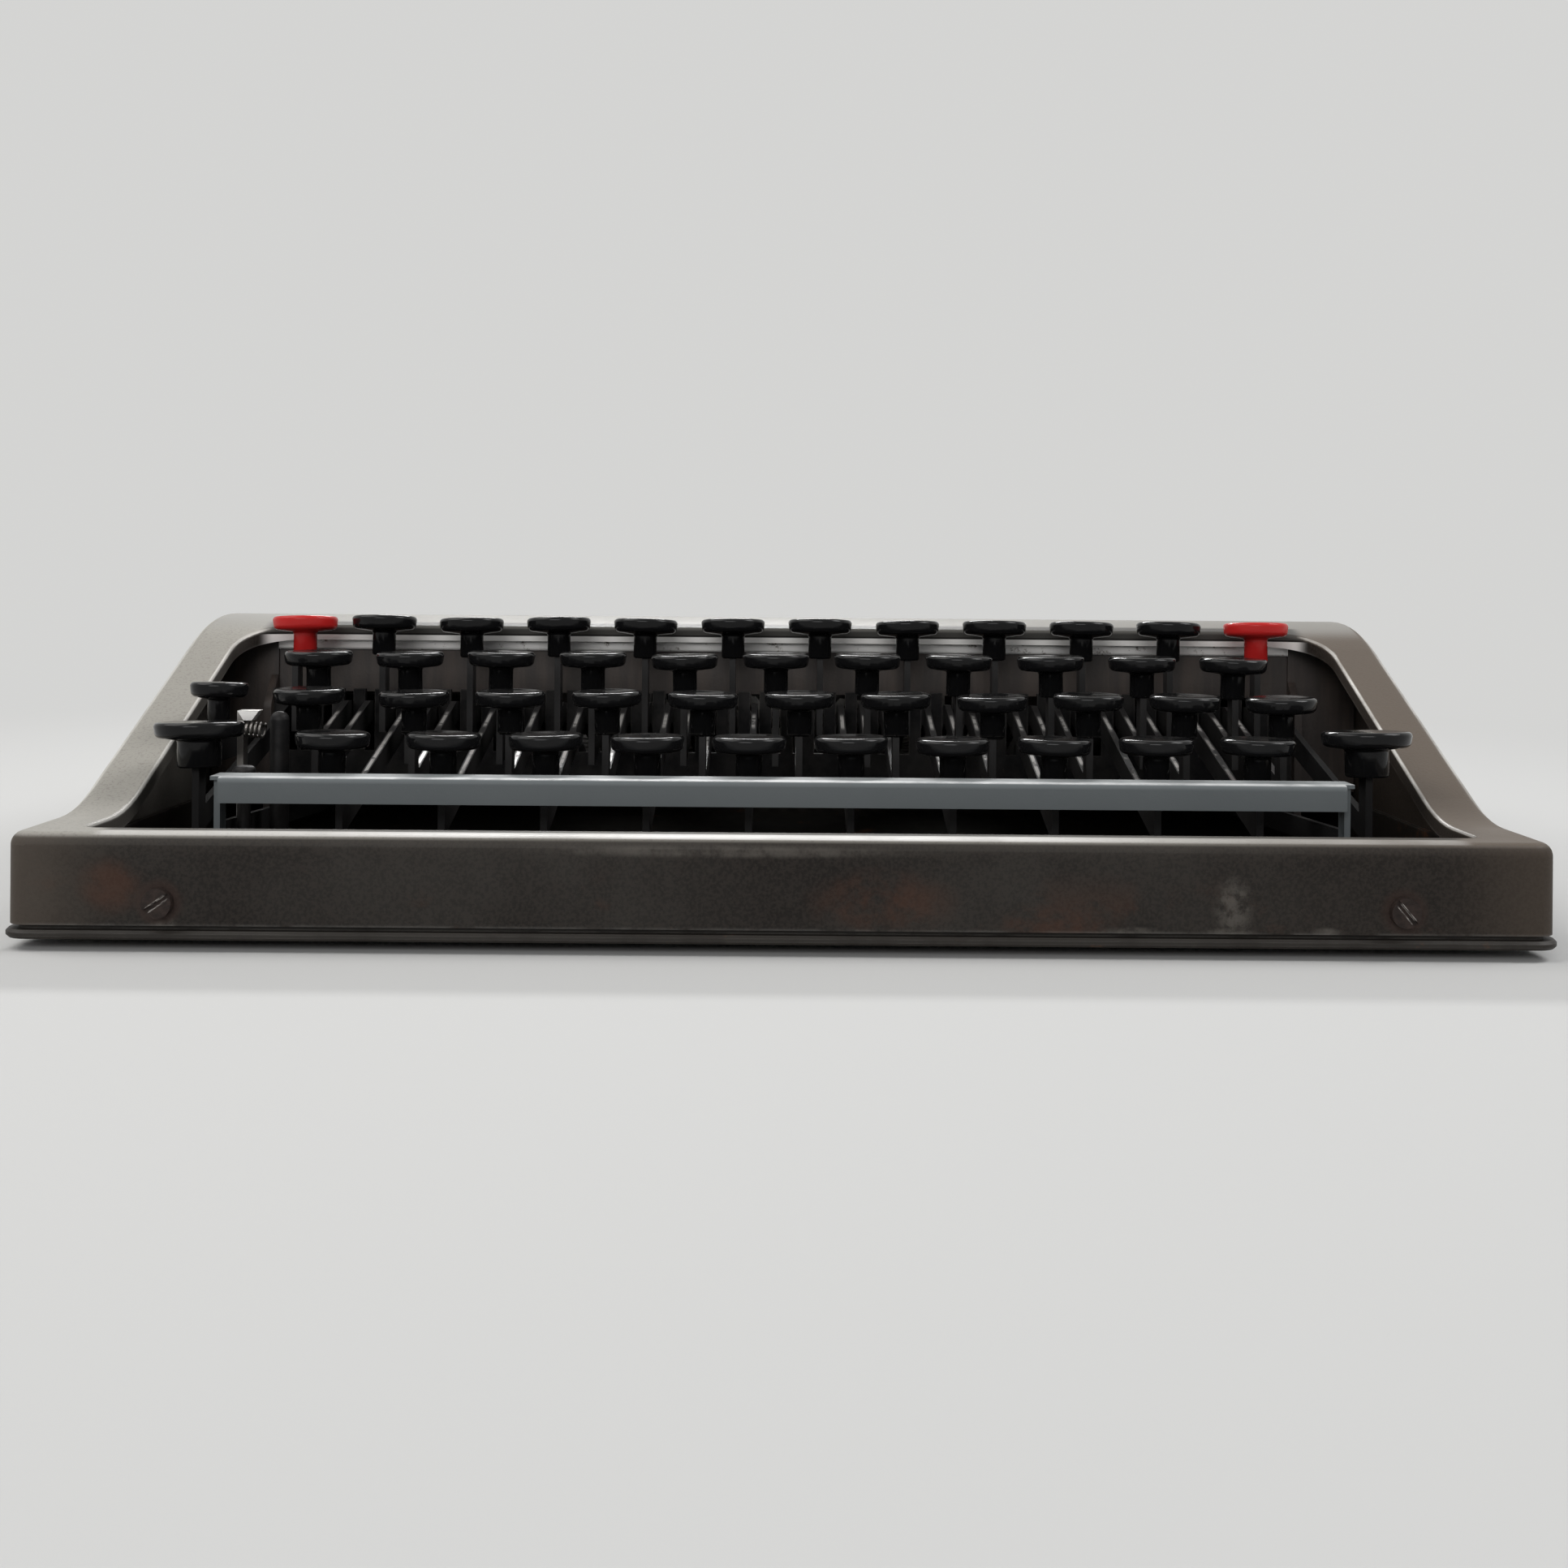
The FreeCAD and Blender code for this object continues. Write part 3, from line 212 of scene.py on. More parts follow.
# Lever frame: stamped side plates, the fulcrum rod, the segment bridge and the spool stands.
# Plain steel, darkened by age and old oil, with blooms of rust.
def aged_steel(name, dark, bright, smooth, rusty, rubbed=(0.55, 0.54, 0.52, 1)):
    """Old bare steel: clouds from dark to bright, rubbed edges, rust where its noise is above rusty."""
    made, tree, shader, where = finish_of(name)
    spots = apply(tree, mottle, {"Where": where, "Grain Scale": 3200.0, "Cloud Scale": 110.0})
    wear = apply(tree, worn_edge, {"Where": where, "Reach": 0.4 * MM, "Patch Scale": 300.0})["Mask"]
    rust = apply(tree, rust_bloom, {"Where": where, "Scale": 150.0, "Least": rusty})["Mask"]
    coat = over(tree, span(tree, spots["Cloud"], 0.3, 0.7), dark, bright)
    coat = over(tree, rust, coat, (0.10, 0.042, 0.018, 1))
    coat = over(tree, wear, coat, rubbed)
    rough = span(tree, spots["Cloud"], 0.2, 0.8, smooth + 0.16, smooth)
    lay(tree, shader, coat, rough, metal=span(tree, rust, 0.0, 1.0, 0.85, 0.1))
    relief(tree, shader, spots["Grain"], 0.04)
    return made


frame_steel = aged_steel("frame steel", (0.030, 0.026, 0.023, 1), (0.075, 0.066, 0.060, 1),
                         smooth=0.42, rusty=0.60, rubbed=(0.11, 0.10, 0.09, 1))
dress("lever_frame", frame_steel)


# Type basket: the slotted half ring of hardened steel and the fan of typebars that hang in it.
# Bars and slugs are nickelled, dulled by ink and fingers.
type_steel = aged_steel("type steel", (0.16, 0.155, 0.15, 1), (0.42, 0.41, 0.39, 1), smooth=0.26, rusty=0.68)
dress("type_basket", type_steel)


# Key bed: the comb that guides the levers, the panel behind the keys, the latch stand and post.
# The comb is blackened steel, the panel brown lacquer with a bright folded strip along its top, painted
# lighter than its steel as painted light; the latch plate is painted near white as a painted reflection.
PANEL_FRONT_Y = -23.0
PANEL_FOOT_Z = 36.0
STRIP_FOOT_Z = 46.2
STAND_BACK_Y = -70.0
STAND_INNER_X = -101.0
PLATE_FOOT_Z = 34.7


def painted_by_place(name, chosen):
    """Give a node's polygons the number of a finish, worked out from their middles in millimetres."""
    mesh = nodes[name].data
    middles = np.empty(len(mesh.polygons) * 3, np.float32)
    mesh.polygons.foreach_get("center", middles)
    mesh.polygons.foreach_set("material_index", chosen(middles.reshape(-1, 3) / MM).astype(np.int32))


def bed_finish(middle):
    """Comb and posts 0, panel 1, its strip 2, the latch stand's plate 3 and leg 4."""
    x, y, z = middle.T
    panel = (y > PANEL_FRONT_Y) & (z > PANEL_FOOT_Z)
    top_strip = panel & (z > STRIP_FOOT_Z)
    stand = (y < STAND_BACK_Y) & (x < STAND_INNER_X)
    plate = stand & (z > PLATE_FOOT_Z)
    return np.select([top_strip, panel, plate, stand], [2, 1, 3, 4], 0)


comb_black = aged_steel("comb black", (0.010, 0.010, 0.011, 1), (0.034, 0.032, 0.031, 1),
                        smooth=0.42, rusty=0.66, rubbed=(0.09, 0.086, 0.08, 1))
# The latch plate is painted near white: a painted reflection of bright surroundings in its steel.
latch_plate_painted_reflection = aged_steel("latch plate painted reflection", (0.84, 0.82, 0.80, 1), (0.95, 0.93, 0.91, 1),
                         smooth=0.34, rusty=0.76)
spring_steel = aged_steel("spring steel", (0.10, 0.095, 0.09, 1), (0.32, 0.30, 0.28, 1),
                          smooth=0.28, rusty=0.62)

panel_lacquer, tree, shader, where = finish_of("panel lacquer")
spots = apply(tree, mottle, {"Where": where, "Grain Scale": 1800.0, "Cloud Scale": 60.0})
streaks = add(tree, "Mapping", {"Vector": where, "Scale": (1.0, 1.0, 0.12)}).outputs[0]
drips = span(tree, noise(tree, streaks, 190.0, detail=4.0), 0.42, 0.66)
coat = over(tree, spots["Cloud"], (0.016, 0.013, 0.012, 1), (0.055, 0.042, 0.036, 1))
coat = over(tree, times(tree, drips, 0.5), coat, (0.10, 0.075, 0.06, 1))
lay(tree, shader, coat, span(tree, spots["Cloud"], 0.2, 0.8, 0.42, 0.62))
relief(tree, shader, spots["Grain"], 0.05)

# The strip is painted near white, lighter than its steel, as painted light against the shadow of the lip.
strip_painted_light, tree, shader, where = finish_of("strip painted light")
spots = apply(tree, mottle, {"Where": where, "Grain Scale": 1500.0, "Cloud Scale": 90.0})
pits = apply(tree, rust_bloom, {"Where": where, "Scale": 420.0, "Least": 0.58})["Mask"]
coat = over(tree, spots["Cloud"], (0.86, 0.845, 0.82, 1), (0.96, 0.945, 0.92, 1))
coat = over(tree, times(tree, pits, 0.8), coat, (0.13, 0.085, 0.055, 1))
lay(tree, shader, coat, span(tree, pits, 0.0, 1.0, 0.34, 0.8), metal=span(tree, pits, 0.0, 1.0, 0.15, 0.05))
relief(tree, shader, spots["Grain"], 0.05)

dress("key_bed", comb_black, panel_lacquer, strip_painted_light, latch_plate_painted_reflection, spring_steel)
painted_by_place("key_bed", bed_finish)


# Keys: moulded black tops with a dished face and a rolled rim, pressed on the tangs of flat levers.
# The end keys of the top row are red. Levers are blackened steel, rubbed bright along the top edge.
KEY_PITCH = 19.05
KEY_RADIUS = 6.95
STEM_RADIUS = 2.5
TOP_LENGTH = 8.5
DISH = 0.3
RIM_ROUND = 0.8
UNDER_ROUND = 1.15
UNDER_INSET = 1.3
UNDER_HEIGHT = -1.8
THROAT_ROUND = 0.5
THROAT_HEIGHT = -3.8
FOOT_BEVEL = 0.35


def grid_faces(rows, columns):
    """Quads of a grid of points, row by row, with the last column joined to the first."""
    row, column = np.meshgrid(np.arange(rows - 1), np.arange(columns), indexing="ij")
    here = row * columns + column
    beside = row * columns + (column + 1) % columns
    return np.stack([here, here + columns, beside + columns, beside], -1).reshape(-1, 4)


def end_faces(rows, columns):
    """The two faces that close a grid whose rows are rings."""
    first = np.arange(columns)
    return np.stack([first, (rows - 1) * columns + first[::-1]])


def turned(profile, around=40):
    """A profile of (radius, height) turned about the upright axis: radius on a circle, height kept."""
    angle = np.linspace(0.0, 2 * np.pi, around, endpoint=False)
    radius = profile[:, 0][:, None]
    height = np.repeat(profile[:, 1][:, None], around, 1)
    points = np.stack([radius * np.cos(angle), radius * np.sin(angle), height], -1).reshape(-1, 3)
    return points, [grid_faces(len(profile), around), end_faces(len(profile), around)]


def piece(name, points, faces, finishes, smooth=True):
    """An object from points in millimetres and lists of faces, with its materials."""
    mesh = bpy.data.meshes.new(name)
    corners = [face for several in faces for face in several.tolist()]
    mesh.from_pydata((points * MM).tolist(), [], corners)
    mesh.polygons.foreach_set("use_smooth", np.full(len(corners), smooth))
    for finish in finishes:
        mesh.materials.append(finish)
    mesh.update()
    made = bpy.data.objects.new(name, mesh)
    bpy.context.scene.collection.objects.link(made)
    return made


def arc(middle, radius, first, last, count):
    """Points on an arc from one angle to another, in degrees."""
    angle = np.radians(np.linspace(first, last, count))
    return np.stack([middle[0] + radius * np.cos(angle), middle[1] + radius * np.sin(angle)], -1)


def keytop_profile(radius, stem):
    """Half outline of a keytop from the middle of its dished face, over the rolled rim, to the stem's foot.

    The dish rises with the square of the distance from the middle, rim and throat are arcs, and the
    underside is a shallow cone from the rim to the stem. Heights are counted from the top.
    """
    inside = np.linspace(RIM_ROUND, radius - RIM_ROUND, 8)
    face = np.stack([inside, DISH * ((inside / (radius - RIM_ROUND)) ** 2 - 1)], -1)
    over_rim = arc((radius - RIM_ROUND, -RIM_ROUND), RIM_ROUND, 84, 0, 8)
    under_rim = arc((radius - UNDER_INSET, UNDER_HEIGHT), UNDER_ROUND, -4, -80, 7)
    throat = arc((stem + THROAT_ROUND, THROAT_HEIGHT), THROAT_ROUND, 90, 180, 5)
    foot = np.array([[stem, -TOP_LENGTH + FOOT_BEVEL], [stem - FOOT_BEVEL, -TOP_LENGTH]])
    return np.concatenate([face, over_rim, under_rim, throat, foot])


# Packed keys lean by KEY_TILT. Worn ones sway by up to SWAY, in degrees, and sink by between two depths.
KEY_TILT = math.radians(-2.5)
SWAY = 1.3
SINK = (0.05, 0.45)
draw = np.random.default_rng(11)


def leaned(points, x, y, top, tilt, sway):
    """Points swayed about Y, leaned about X and moved to a key's place."""
    across, along, up = points.T
    aside = across * math.cos(sway) + up * math.sin(sway)
    height = up * math.cos(sway) - across * math.sin(sway)
    back = along * math.cos(tilt) - height * math.sin(tilt)
    rise = along * math.sin(tilt) + height * math.cos(tilt)
    return np.stack([aside + x, back + y, rise + top], -1)


PAD_MARGIN = 0.6
LEVER_WIDTH = 1.5
AT_FOOT = 0.05
ABOVE_FOOT = 0.1


def lever_below(name, tops):
    """The lever of a packed key: its triangles outside the pads and stems, with their corners merged.

    A top is (x, y, height, radius) of its pad. Seen along the leaning stem, a pad and its stem lie above
    the stem's foot, TOP_LENGTH below the top.
    """
    mesh = nodes[name].data
    points = np.empty(len(mesh.vertices) * 3, np.float32)
    mesh.vertices.foreach_get("co", points)
    points = points.reshape(-1, 3) / MM
    corners = np.empty(len(mesh.polygons) * 3, np.int32)
    mesh.polygons.foreach_get("vertices", corners)
    corners = corners.reshape(-1, 3)
    wide = np.ptp(points[corners][:, :, 0], 1) > LEVER_WIDTH
    dropped = np.zeros(len(corners), bool)
    for x, y, top, radius in tops:
        along = points[:, 1] - y
        height = (points[:, 2] - top) * math.cos(KEY_TILT) - along * math.sin(KEY_TILT)
        reach = radius + PAD_MARGIN
        near = (np.abs(along) < reach) & (np.abs(points[:, 0] - x) < reach)
        at_foot = (near & (np.abs(height + TOP_LENGTH) < AT_FOOT))[corners].all(1)
        above_foot = (near & (height > ABOVE_FOOT - TOP_LENGTH))[corners].any(1)
        dropped |= above_foot | (at_foot & wide)
    merged, index = np.unique(np.round(points, 3), axis=0, return_inverse=True)
    used, index = np.unique(index.ravel()[corners[~dropped]], return_inverse=True)
    return merged[used], index.reshape(-1, 3)


def key_piece(name, tops, shape, colour, tilt, lever):
    """A key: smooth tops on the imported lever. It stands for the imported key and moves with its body.

    Each top sways by its own degree or so and sits a little low, as worn keys do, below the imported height.
    """
    points, faces = shape
    lever_points, lever_faces = lever_below(name, tops)
    top_points = []
    for x, y, top, radius in tops:
        sway = math.radians(draw.uniform(-SWAY, SWAY))
        raised = max(0.0, math.sin(KEY_TILT) - math.sin(tilt))
        low = radius * (abs(math.sin(sway)) + raised) + draw.uniform(*SINK)
        top_points.append(leaned(points, x, y, top - low, tilt, sway))
    top_faces = [several + number * len(points) for number in range(len(tops)) for several in faces]
    made = piece(f"{name}_piece", np.concatenate(top_points + [lever_points]),
                 top_faces + [lever_faces + len(tops) * len(points)], [colour, lever])
    on_lever = np.arange(len(made.data.polygons)) >= len(made.data.polygons) - len(lever_faces)
    made.data.polygons.foreach_set("material_index", on_lever.astype(np.int32))
    made.data.polygons.foreach_set("use_smooth", ~on_lever)
    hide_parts(name)
    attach(made, name)


def split(tree, vector):
    """X, Y and Z of a vector."""
    return add(tree, "SeparateXYZ", {0: vector}).outputs


def facing_of(tree):
    """X, Y and Z of the way that the surface faces, in the object's own frame."""
    return split(tree, tree.nodes.new("ShaderNodeTexCoord").outputs["Normal"])


def moulded(name, body, scuff, sheen):
    """Moulded keytop plastic: deep gloss, cloudy hand polish, dull scuffs on the rims, fine dust on top."""
    made, tree, shader, where = finish_of(name)
    spots = apply(tree, mottle, {"Where": where, "Grain Scale": 4200.0, "Cloud Scale": 230.0})
    wear = apply(tree, worn_edge, {"Where": where, "Reach": 0.6 * MM, "Patch Scale": 520.0})["Mask"]
    upward = span(tree, facing_of(tree)["Z"], 0.3, 1.0)
    dust = times(tree, upward, span(tree, spots["Cloud"], 0.35, 0.75), 0.05)
    coat = over(tree, times(tree, wear, 0.3), body, scuff)
    coat = over(tree, dust, coat, (0.32, 0.30, 0.27, 1))
    lay(tree, shader, coat, span(tree, spots["Cloud"], 0.25, 0.75, sheen, sheen + 0.10), gloss=0.18)
    relief(tree, shader, spots["Grain"], 0.02, strength=0.35)
    return made


key_black = moulded("key black", (0.008, 0.008, 0.0085, 1), (0.085, 0.078, 0.068, 1), sheen=0.06)
key_red = moulded("key red", (0.58, 0.024, 0.023, 1), (0.56, 0.10, 0.08, 1), sheen=0.16)


def zone(tree, place, edge, first=0.0, last=1.0):
    """A value that goes smoothly from first to last across an edge, a pair of places in millimetres."""
    return span(tree, place, edge[0] * MM, edge[1] * MM, first, last)


# Levers stand four to a pitch, counted from the first key of the top row, FIRST_LEVER pitches to the left.
LEVERS_PER_PITCH = 4
FIRST_LEVER = 5.58
# The bright line keeps to the middle of the top edge: edge of its half, in shares of the levers' spacing.
LINE_EDGE = (0.095, 0.055)
FRONT_PART = (-47.0, -50.0)
COMB_NEAR = (-45.0, -42.0)
COMB_FAR = (-34.0, -37.0)

lever_steel, tree, shader, where = finish_of("lever steel")
spots = apply(tree, mottle, {"Where": where, "Grain Scale": 3000.0, "Cloud Scale": 170.0})
spot = split(tree, where)
upward = span(tree, facing_of(tree)["Z"], 0.45, 0.85)
patches = span(tree, noise(tree, where, 55.0, detail=4.0, roughness=0.6), 0.43, 0.50)
patches = times(tree, patches, zone(tree, spot["Y"], FRONT_PART))
at_comb = times(tree, zone(tree, spot["Y"], COMB_NEAR), zone(tree, spot["Y"], COMB_FAR, last=0.7))
spacing = {0: spot["X"], 1: LEVERS_PER_PITCH / (KEY_PITCH * MM), 2: LEVERS_PER_PITCH * FIRST_LEVER}
lever_number = add(tree, "Math", spacing, operation="MULTIPLY_ADD").outputs[0]
from_middle = add(tree, "Math", {0: lever_number, 1: 0.5}, operation="PINGPONG").outputs[0]
scratches = span(tree, noise(tree, where, 420.0, detail=4.0), 0.30, 0.50)
rubbed = times(tree, upward, highest(tree, patches, at_comb), scratches, span(tree, from_middle, *LINE_EDGE))
coat = over(tree, spots["Cloud"], (0.010, 0.010, 0.011, 1), (0.030, 0.028, 0.027, 1))
coat = over(tree, rubbed, coat, (0.54, 0.52, 0.495, 1))
rough = span(tree, rubbed, 0.0, 1.0, 0.46, 0.28)
lay(tree, shader, coat, rough, metal=times(tree, rubbed, 0.3), gloss=0.25)
relief(tree, shader, spots["Grain"], 0.04)

# Row: first key in pitches from the middle, number of keys, Y, height of the tops, how far the first key is
# set to the side, tilt in degrees.
key_rows = {
    1: (-FIRST_LEVER, 12, -32.85, 54.39, 1.7, -4.0),
    2: (-5.08, 11, -51.90, 47.56, 0.0, 0.4),
    3: (-4.83, 11, -70.95, 40.73, -1.7, 0.8),
    4: (-4.33, 10, -90.00, 33.90, -1.7, -0.4),
}
plain_top = turned(keytop_profile(KEY_RADIUS, STEM_RADIUS))
for row, (start, count, row_y, row_top, first_set, tilt) in key_rows.items():
    for number in range(count):
        name, colour, slot = f"key_r{row}_{number + 1:02d}", key_black, "key_black"
        if row == 1 and number in (0, count - 1):
            name = "backspace_key" if number else "margin_release_key"
            colour, slot = key_red, "key_red"
        x = KEY_PITCH * (start + number) + (first_set if number == 0 else 0.0)
        top = (x, row_y, row_top, KEY_RADIUS)
        key_piece(name, [top], plain_top, colour, math.radians(tilt), lever_steel)


# Shift keys and shift lock: larger tops at both ends of the front row, on blackened levers joined by a bail.
# The small lock key stands behind the left one and swings on its lever.
SHIFT_X = 109.2
SHIFT_Y = -90.0
SHIFT_TOP = 35.8
SHIFT_RADIUS = 8.2
SHIFT_STEM = 4.0
LOCK_X = -111.4
LOCK_Y = -70.95
LOCK_TOP = 42.03
LOCK_RADIUS = 5.6
LOCK_STEM = 2.15

arm_black, tree, shader, where = finish_of("arm black")
spots = apply(tree, mottle, {"Where": where, "Grain Scale": 3000.0, "Cloud Scale": 140.0})
coat = over(tree, spots["Cloud"], (0.008, 0.008, 0.009, 1), (0.026, 0.025, 0.024, 1))
lay(tree, shader, coat, span(tree, spots["Cloud"], 0.2, 0.8, 0.48, 0.66), gloss=0.06)
relief(tree, shader, spots["Grain"], 0.04)

shift_tops = [(side * SHIFT_X, SHIFT_Y, SHIFT_TOP, SHIFT_RADIUS) for side in (-1, 1)]
shift_shape = turned(keytop_profile(SHIFT_RADIUS, SHIFT_STEM), around=48)
key_piece("shift_keys", shift_tops, shift_shape, key_black, KEY_TILT, arm_black)
lock_tops = [(LOCK_X, LOCK_Y, LOCK_TOP, LOCK_RADIUS)]
lock_shape = turned(keytop_profile(LOCK_RADIUS, LOCK_STEM))
key_piece("shift_lock", lock_tops, lock_shape, key_black, KEY_TILT, arm_black)


# Latch spring: a small coil of spring wire on the latch stand.
# Four open turns of plain wire that lie across the stand.
def coil(middle, axis, radius, wire, turns, pitch, around=8):
    """A round wire along a helix: the path turns about the axis and climbs by the pitch each turn."""
    along = np.linspace(0.0, turns, int(turns * 20) + 1)
    angle = 2 * np.pi * along
    axis = np.asarray(axis, float) / np.linalg.norm(axis)
    side = np.cross(axis, (0.0, 1.0, 0.0))
    side /= np.linalg.norm(side)
    rise = np.cross(axis, side)
    out = np.cos(angle)[:, None] * side + np.sin(angle)[:, None] * rise
    path = np.asarray(middle) + radius * out + (along * pitch)[:, None] * axis
    ring = np.linspace(0.0, 2 * np.pi, around, endpoint=False)
    round_wire = np.cos(ring)[None, :, None] * out[:, None] + np.sin(ring)[:, None] * axis
    points = path[:, None] + wire * round_wire
    return points.reshape(-1, 3), [grid_faces(len(path), around), end_faces(len(path), around)]


spring_shape = coil((-104.0, -77.5, 33.1), axis=(1.0, 0.0, -0.12), radius=1.3, wire=0.3, turns=4, pitch=0.85)
latch_spring = piece("latch_spring", *spring_shape, [spring_steel])
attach(latch_spring, "case")


# Panel wings: the brown panel goes on outside the side plates, up to the walls of the case.
# Flat sheets with a rounded upper corner; the plates' own front edges wear the same lacquer.
WING_INNER = 113.4
WING_OUTER = 128.4
WING_FOOT = 16.0
WING_TOP = 49.0
WING_ROUND = 6.0
WING_Y = (-22.0, -21.2)
PLATE_EDGE_Y = -15.0


def slab(outline, front, back):
    """A flat sheet that faces the typist: an outline carried along Y.

    The outline's points are (x, z), counterclockwise as seen from the front.
    """
    around = np.insert(outline, 1, front, axis=1)
    behind = np.insert(outline, 1, back, axis=1)
    return np.concatenate([around, behind]), [grid_faces(2, len(outline)), end_faces(2, len(outline))]


nodes["lever_frame"].data.materials.append(panel_lacquer)
painted_by_place("lever_frame", lambda middle: middle[:, 1] < PLATE_EDGE_Y)
corner = arc((WING_OUTER - WING_ROUND, WING_TOP - WING_ROUND), WING_ROUND, 0, 90, 9)
foot = [(WING_INNER, WING_FOOT), (WING_OUTER, WING_FOOT)]
right_wing = np.concatenate([foot, corner, [(WING_INNER, WING_TOP)]])
left_wing = right_wing[::-1] * (-1, 1)
for name, outline in (("panel_wing_left", left_wing), ("panel_wing_right", right_wing)):
    wing = piece(name, *slab(outline, *WING_Y), [panel_lacquer], smooth=False)
    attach(wing, "case")


# Space bar: a strip of sheet steel bent over along its front, on two arms down to the fulcrum rod.
# Sprayed blue-grey, rubbed to bare metal along the bend by thumbs; the arms are blackened.
BEND_EDGE = (-104.5, -106.5)
ARM_FRONT_Y = -103.0
FLANGE_FOOT_Z = 26.3

bar_paint, tree, shader, where = finish_of("bar paint")
spots = apply(tree, mottle, {"Where": where, "Grain Scale": 2600.0, "Cloud Scale": 45.0})
chips = apply(tree, rust_bloom, {"Where": where, "Scale": 700.0, "Least": 0.66})["Mask"]
upward = span(tree, facing_of(tree)["Z"], 0.72, 0.94)
thumbed = span(tree, noise(tree, where, 170.0, detail=5.0), 0.30, 0.62, 0.45, 1.0)
rubbed = times(tree, upward, thumbed, zone(tree, split(tree, where)["Y"], BEND_EDGE, first=0.35))
coat = over(tree, spots["Cloud"], (0.115, 0.130, 0.136, 1), (0.155, 0.171, 0.176, 1))
coat = over(tree, times(tree, chips, 0.6), coat, (0.16, 0.15, 0.14, 1))
coat = over(tree, times(tree, rubbed, 0.8), coat, (0.72, 0.73, 0.73, 1))
rough = span(tree, spots["Cloud"], 0.2, 0.8, 0.46, 0.58)
lay(tree, shader, coat, rough, metal=times(tree, rubbed, 0.2), gloss=0.3)
relief(tree, shader, spots["Grain"], 0.03)
dress("space_bar", bar_paint, arm_black)
painted_by_place("space_bar", lambda middle: (middle[:, 1] > ARM_FRONT_Y) & (middle[:, 2] < FLANGE_FOOT_Z))


# Case: one drawn and folded sheet with a rolled lip round the keyboard, screwed to the tray.
# Sprayed warm grey with a fine speckle; the front wall has gone brown with grime, rust and scuffs, and
# painted shade darkens what stands upright.
SCREW_X = 104.0
SCREW_Z = 8.2
FRONT_WALL_Y = -126.5
PATCH_DEPTH = 8.0
# Edges of the masks: where each starts and where it is full.
OPENING_SIDE = (116.5, 113.5)
RIGHT_SIDE = (40.0, 125.0)
CREST_FRONT = (-36.0, -26.0)
WALL_BACK = (-115.0, -118.0)
WALL_TOP = (15.5, 19.0)
WALL_ENDS = (108.0, 130.0)
LIP_TOP = (52.7, 52.3)
LIP_BACK = (-16.0, -18.0)
LIP_FOOT = (44.0, 48.0)
LIP_GAP_SHADOW = (50.2, 50.0)
LIP_EDGE = (49.8, 49.6)
SHELF_BACK = (-112.5, -116.5)
SHELF_FRONT = (-122.7, -122.1)
LOW_DOWN = (16.0, 5.0)
SCREW_RING = (4.6, 3.0)
LINE_LEFT = (-100.0, -30.0)
LINE_RIGHT = (20.0, 75.0)
# Patches on the front wall: middle (x, z), half width and half height, scale of the ragged edge.
RUST_BLOOMS = (
    ((17.0, 9.0), (15.0, 7.0), 150.0),
    ((46.0, 6.0), (13.0, 4.0), 190.0),
    ((-112.0, 11.0), (7.0, 6.0), 120.0),
)
SCUFFS = (
    ((75.5, 8.8), (4.0, 6.5), 480.0),
    ((-10.0, 17.4), (42.0, 1.3), 130.0),
    ((58.5, 4.7), (6.0, 0.9), 160.0),
    ((75.0, 4.7), (5.0, 0.9), 160.0),
    ((91.0, 4.8), (3.0, 0.9), 160.0),
    ((-103.0, 4.6), (2.6, 1.6), 260.0),
)


def patch_at(tree, where, middle, size, ragged):
    """A soft ball of mask round a place (x, z) on the front wall, broken up by noise."""
    centre = (middle[0], FRONT_WALL_Y, middle[1])
    halves = (size[0], PATCH_DEPTH, size[1])
    shift = [-place / half for place, half in zip(centre, halves)]
    shrink = [1 / (half * MM) for half in halves]
    near = add(tree, "Mapping", {"Vector": where, "Location": shift, "Scale": shrink}).outputs[0]
    ball = add(tree, "TexGradient", {"Vector": near}, gradient_type="SPHERICAL").outputs["Fac"]
    torn = span(tree, noise(tree, where, ragged, detail=6.0, roughness=0.65), 0.36, 0.62)
    return times(tree, span(tree, ball, 0.0, 0.7), torn)


def from_screw(tree, where):
    """Distance from the axis of the nearest screw, with both sides folded onto one and Y left out."""
    aside = add(tree, "VectorMath", {0: where}, operation="ABSOLUTE").outputs[0]
    place = {"Vector": aside, "Location": (-SCREW_X * MM, 0.0, -SCREW_Z * MM), "Scale": (1, 0, 1)}
    offset = add(tree, "Mapping", place).outputs[0]
    return add(tree, "VectorMath", {0: offset}, operation="LENGTH").outputs["Value"]


case_paint, tree, shader, where = finish_of("case paint")
spots = apply(tree, mottle, {"Where": where, "Grain Scale": 1900.0, "Cloud Scale": 28.0})
edges = apply(tree, worn_edge, {"Where": where, "Reach": 0.9 * MM, "Patch Scale": 150.0})["Mask"]
rust = apply(tree, rust_bloom, {"Where": where, "Scale": 42.0, "Least": 0.56})["Mask"]
facing = facing_of(tree)
spot = split(tree, where)
from_centre = add(tree, "Math", {0: spot["X"]}, operation="ABSOLUTE").outputs[0]
within = zone(tree, from_centre, OPENING_SIDE)
at_front = zone(tree, spot["Y"], WALL_BACK)

# The paint: clouded and speckled, browner towards the right, and on the up-facing crest an even, slightly
# darker tone as painted shade that keeps the lit crest from glaring.
coat = over(tree, spots["Cloud"], (0.335, 0.318, 0.283, 1), (0.42, 0.402, 0.362, 1))
coat = over(tree, span(tree, spots["Grain"], 0.50, 0.68, top=0.42), coat, (0.20, 0.19, 0.17, 1))
coat = over(tree, zone(tree, spot["X"], RIGHT_SIDE, last=0.90), coat, (0.112, 0.085, 0.064, 1))
crest_painted_shade = times(tree, span(tree, facing["Z"], 0.94, 0.985), zone(tree, spot["Y"], CREST_FRONT), 0.8)
coat = over(tree, crest_painted_shade, coat, (0.34, 0.330, 0.306, 1))
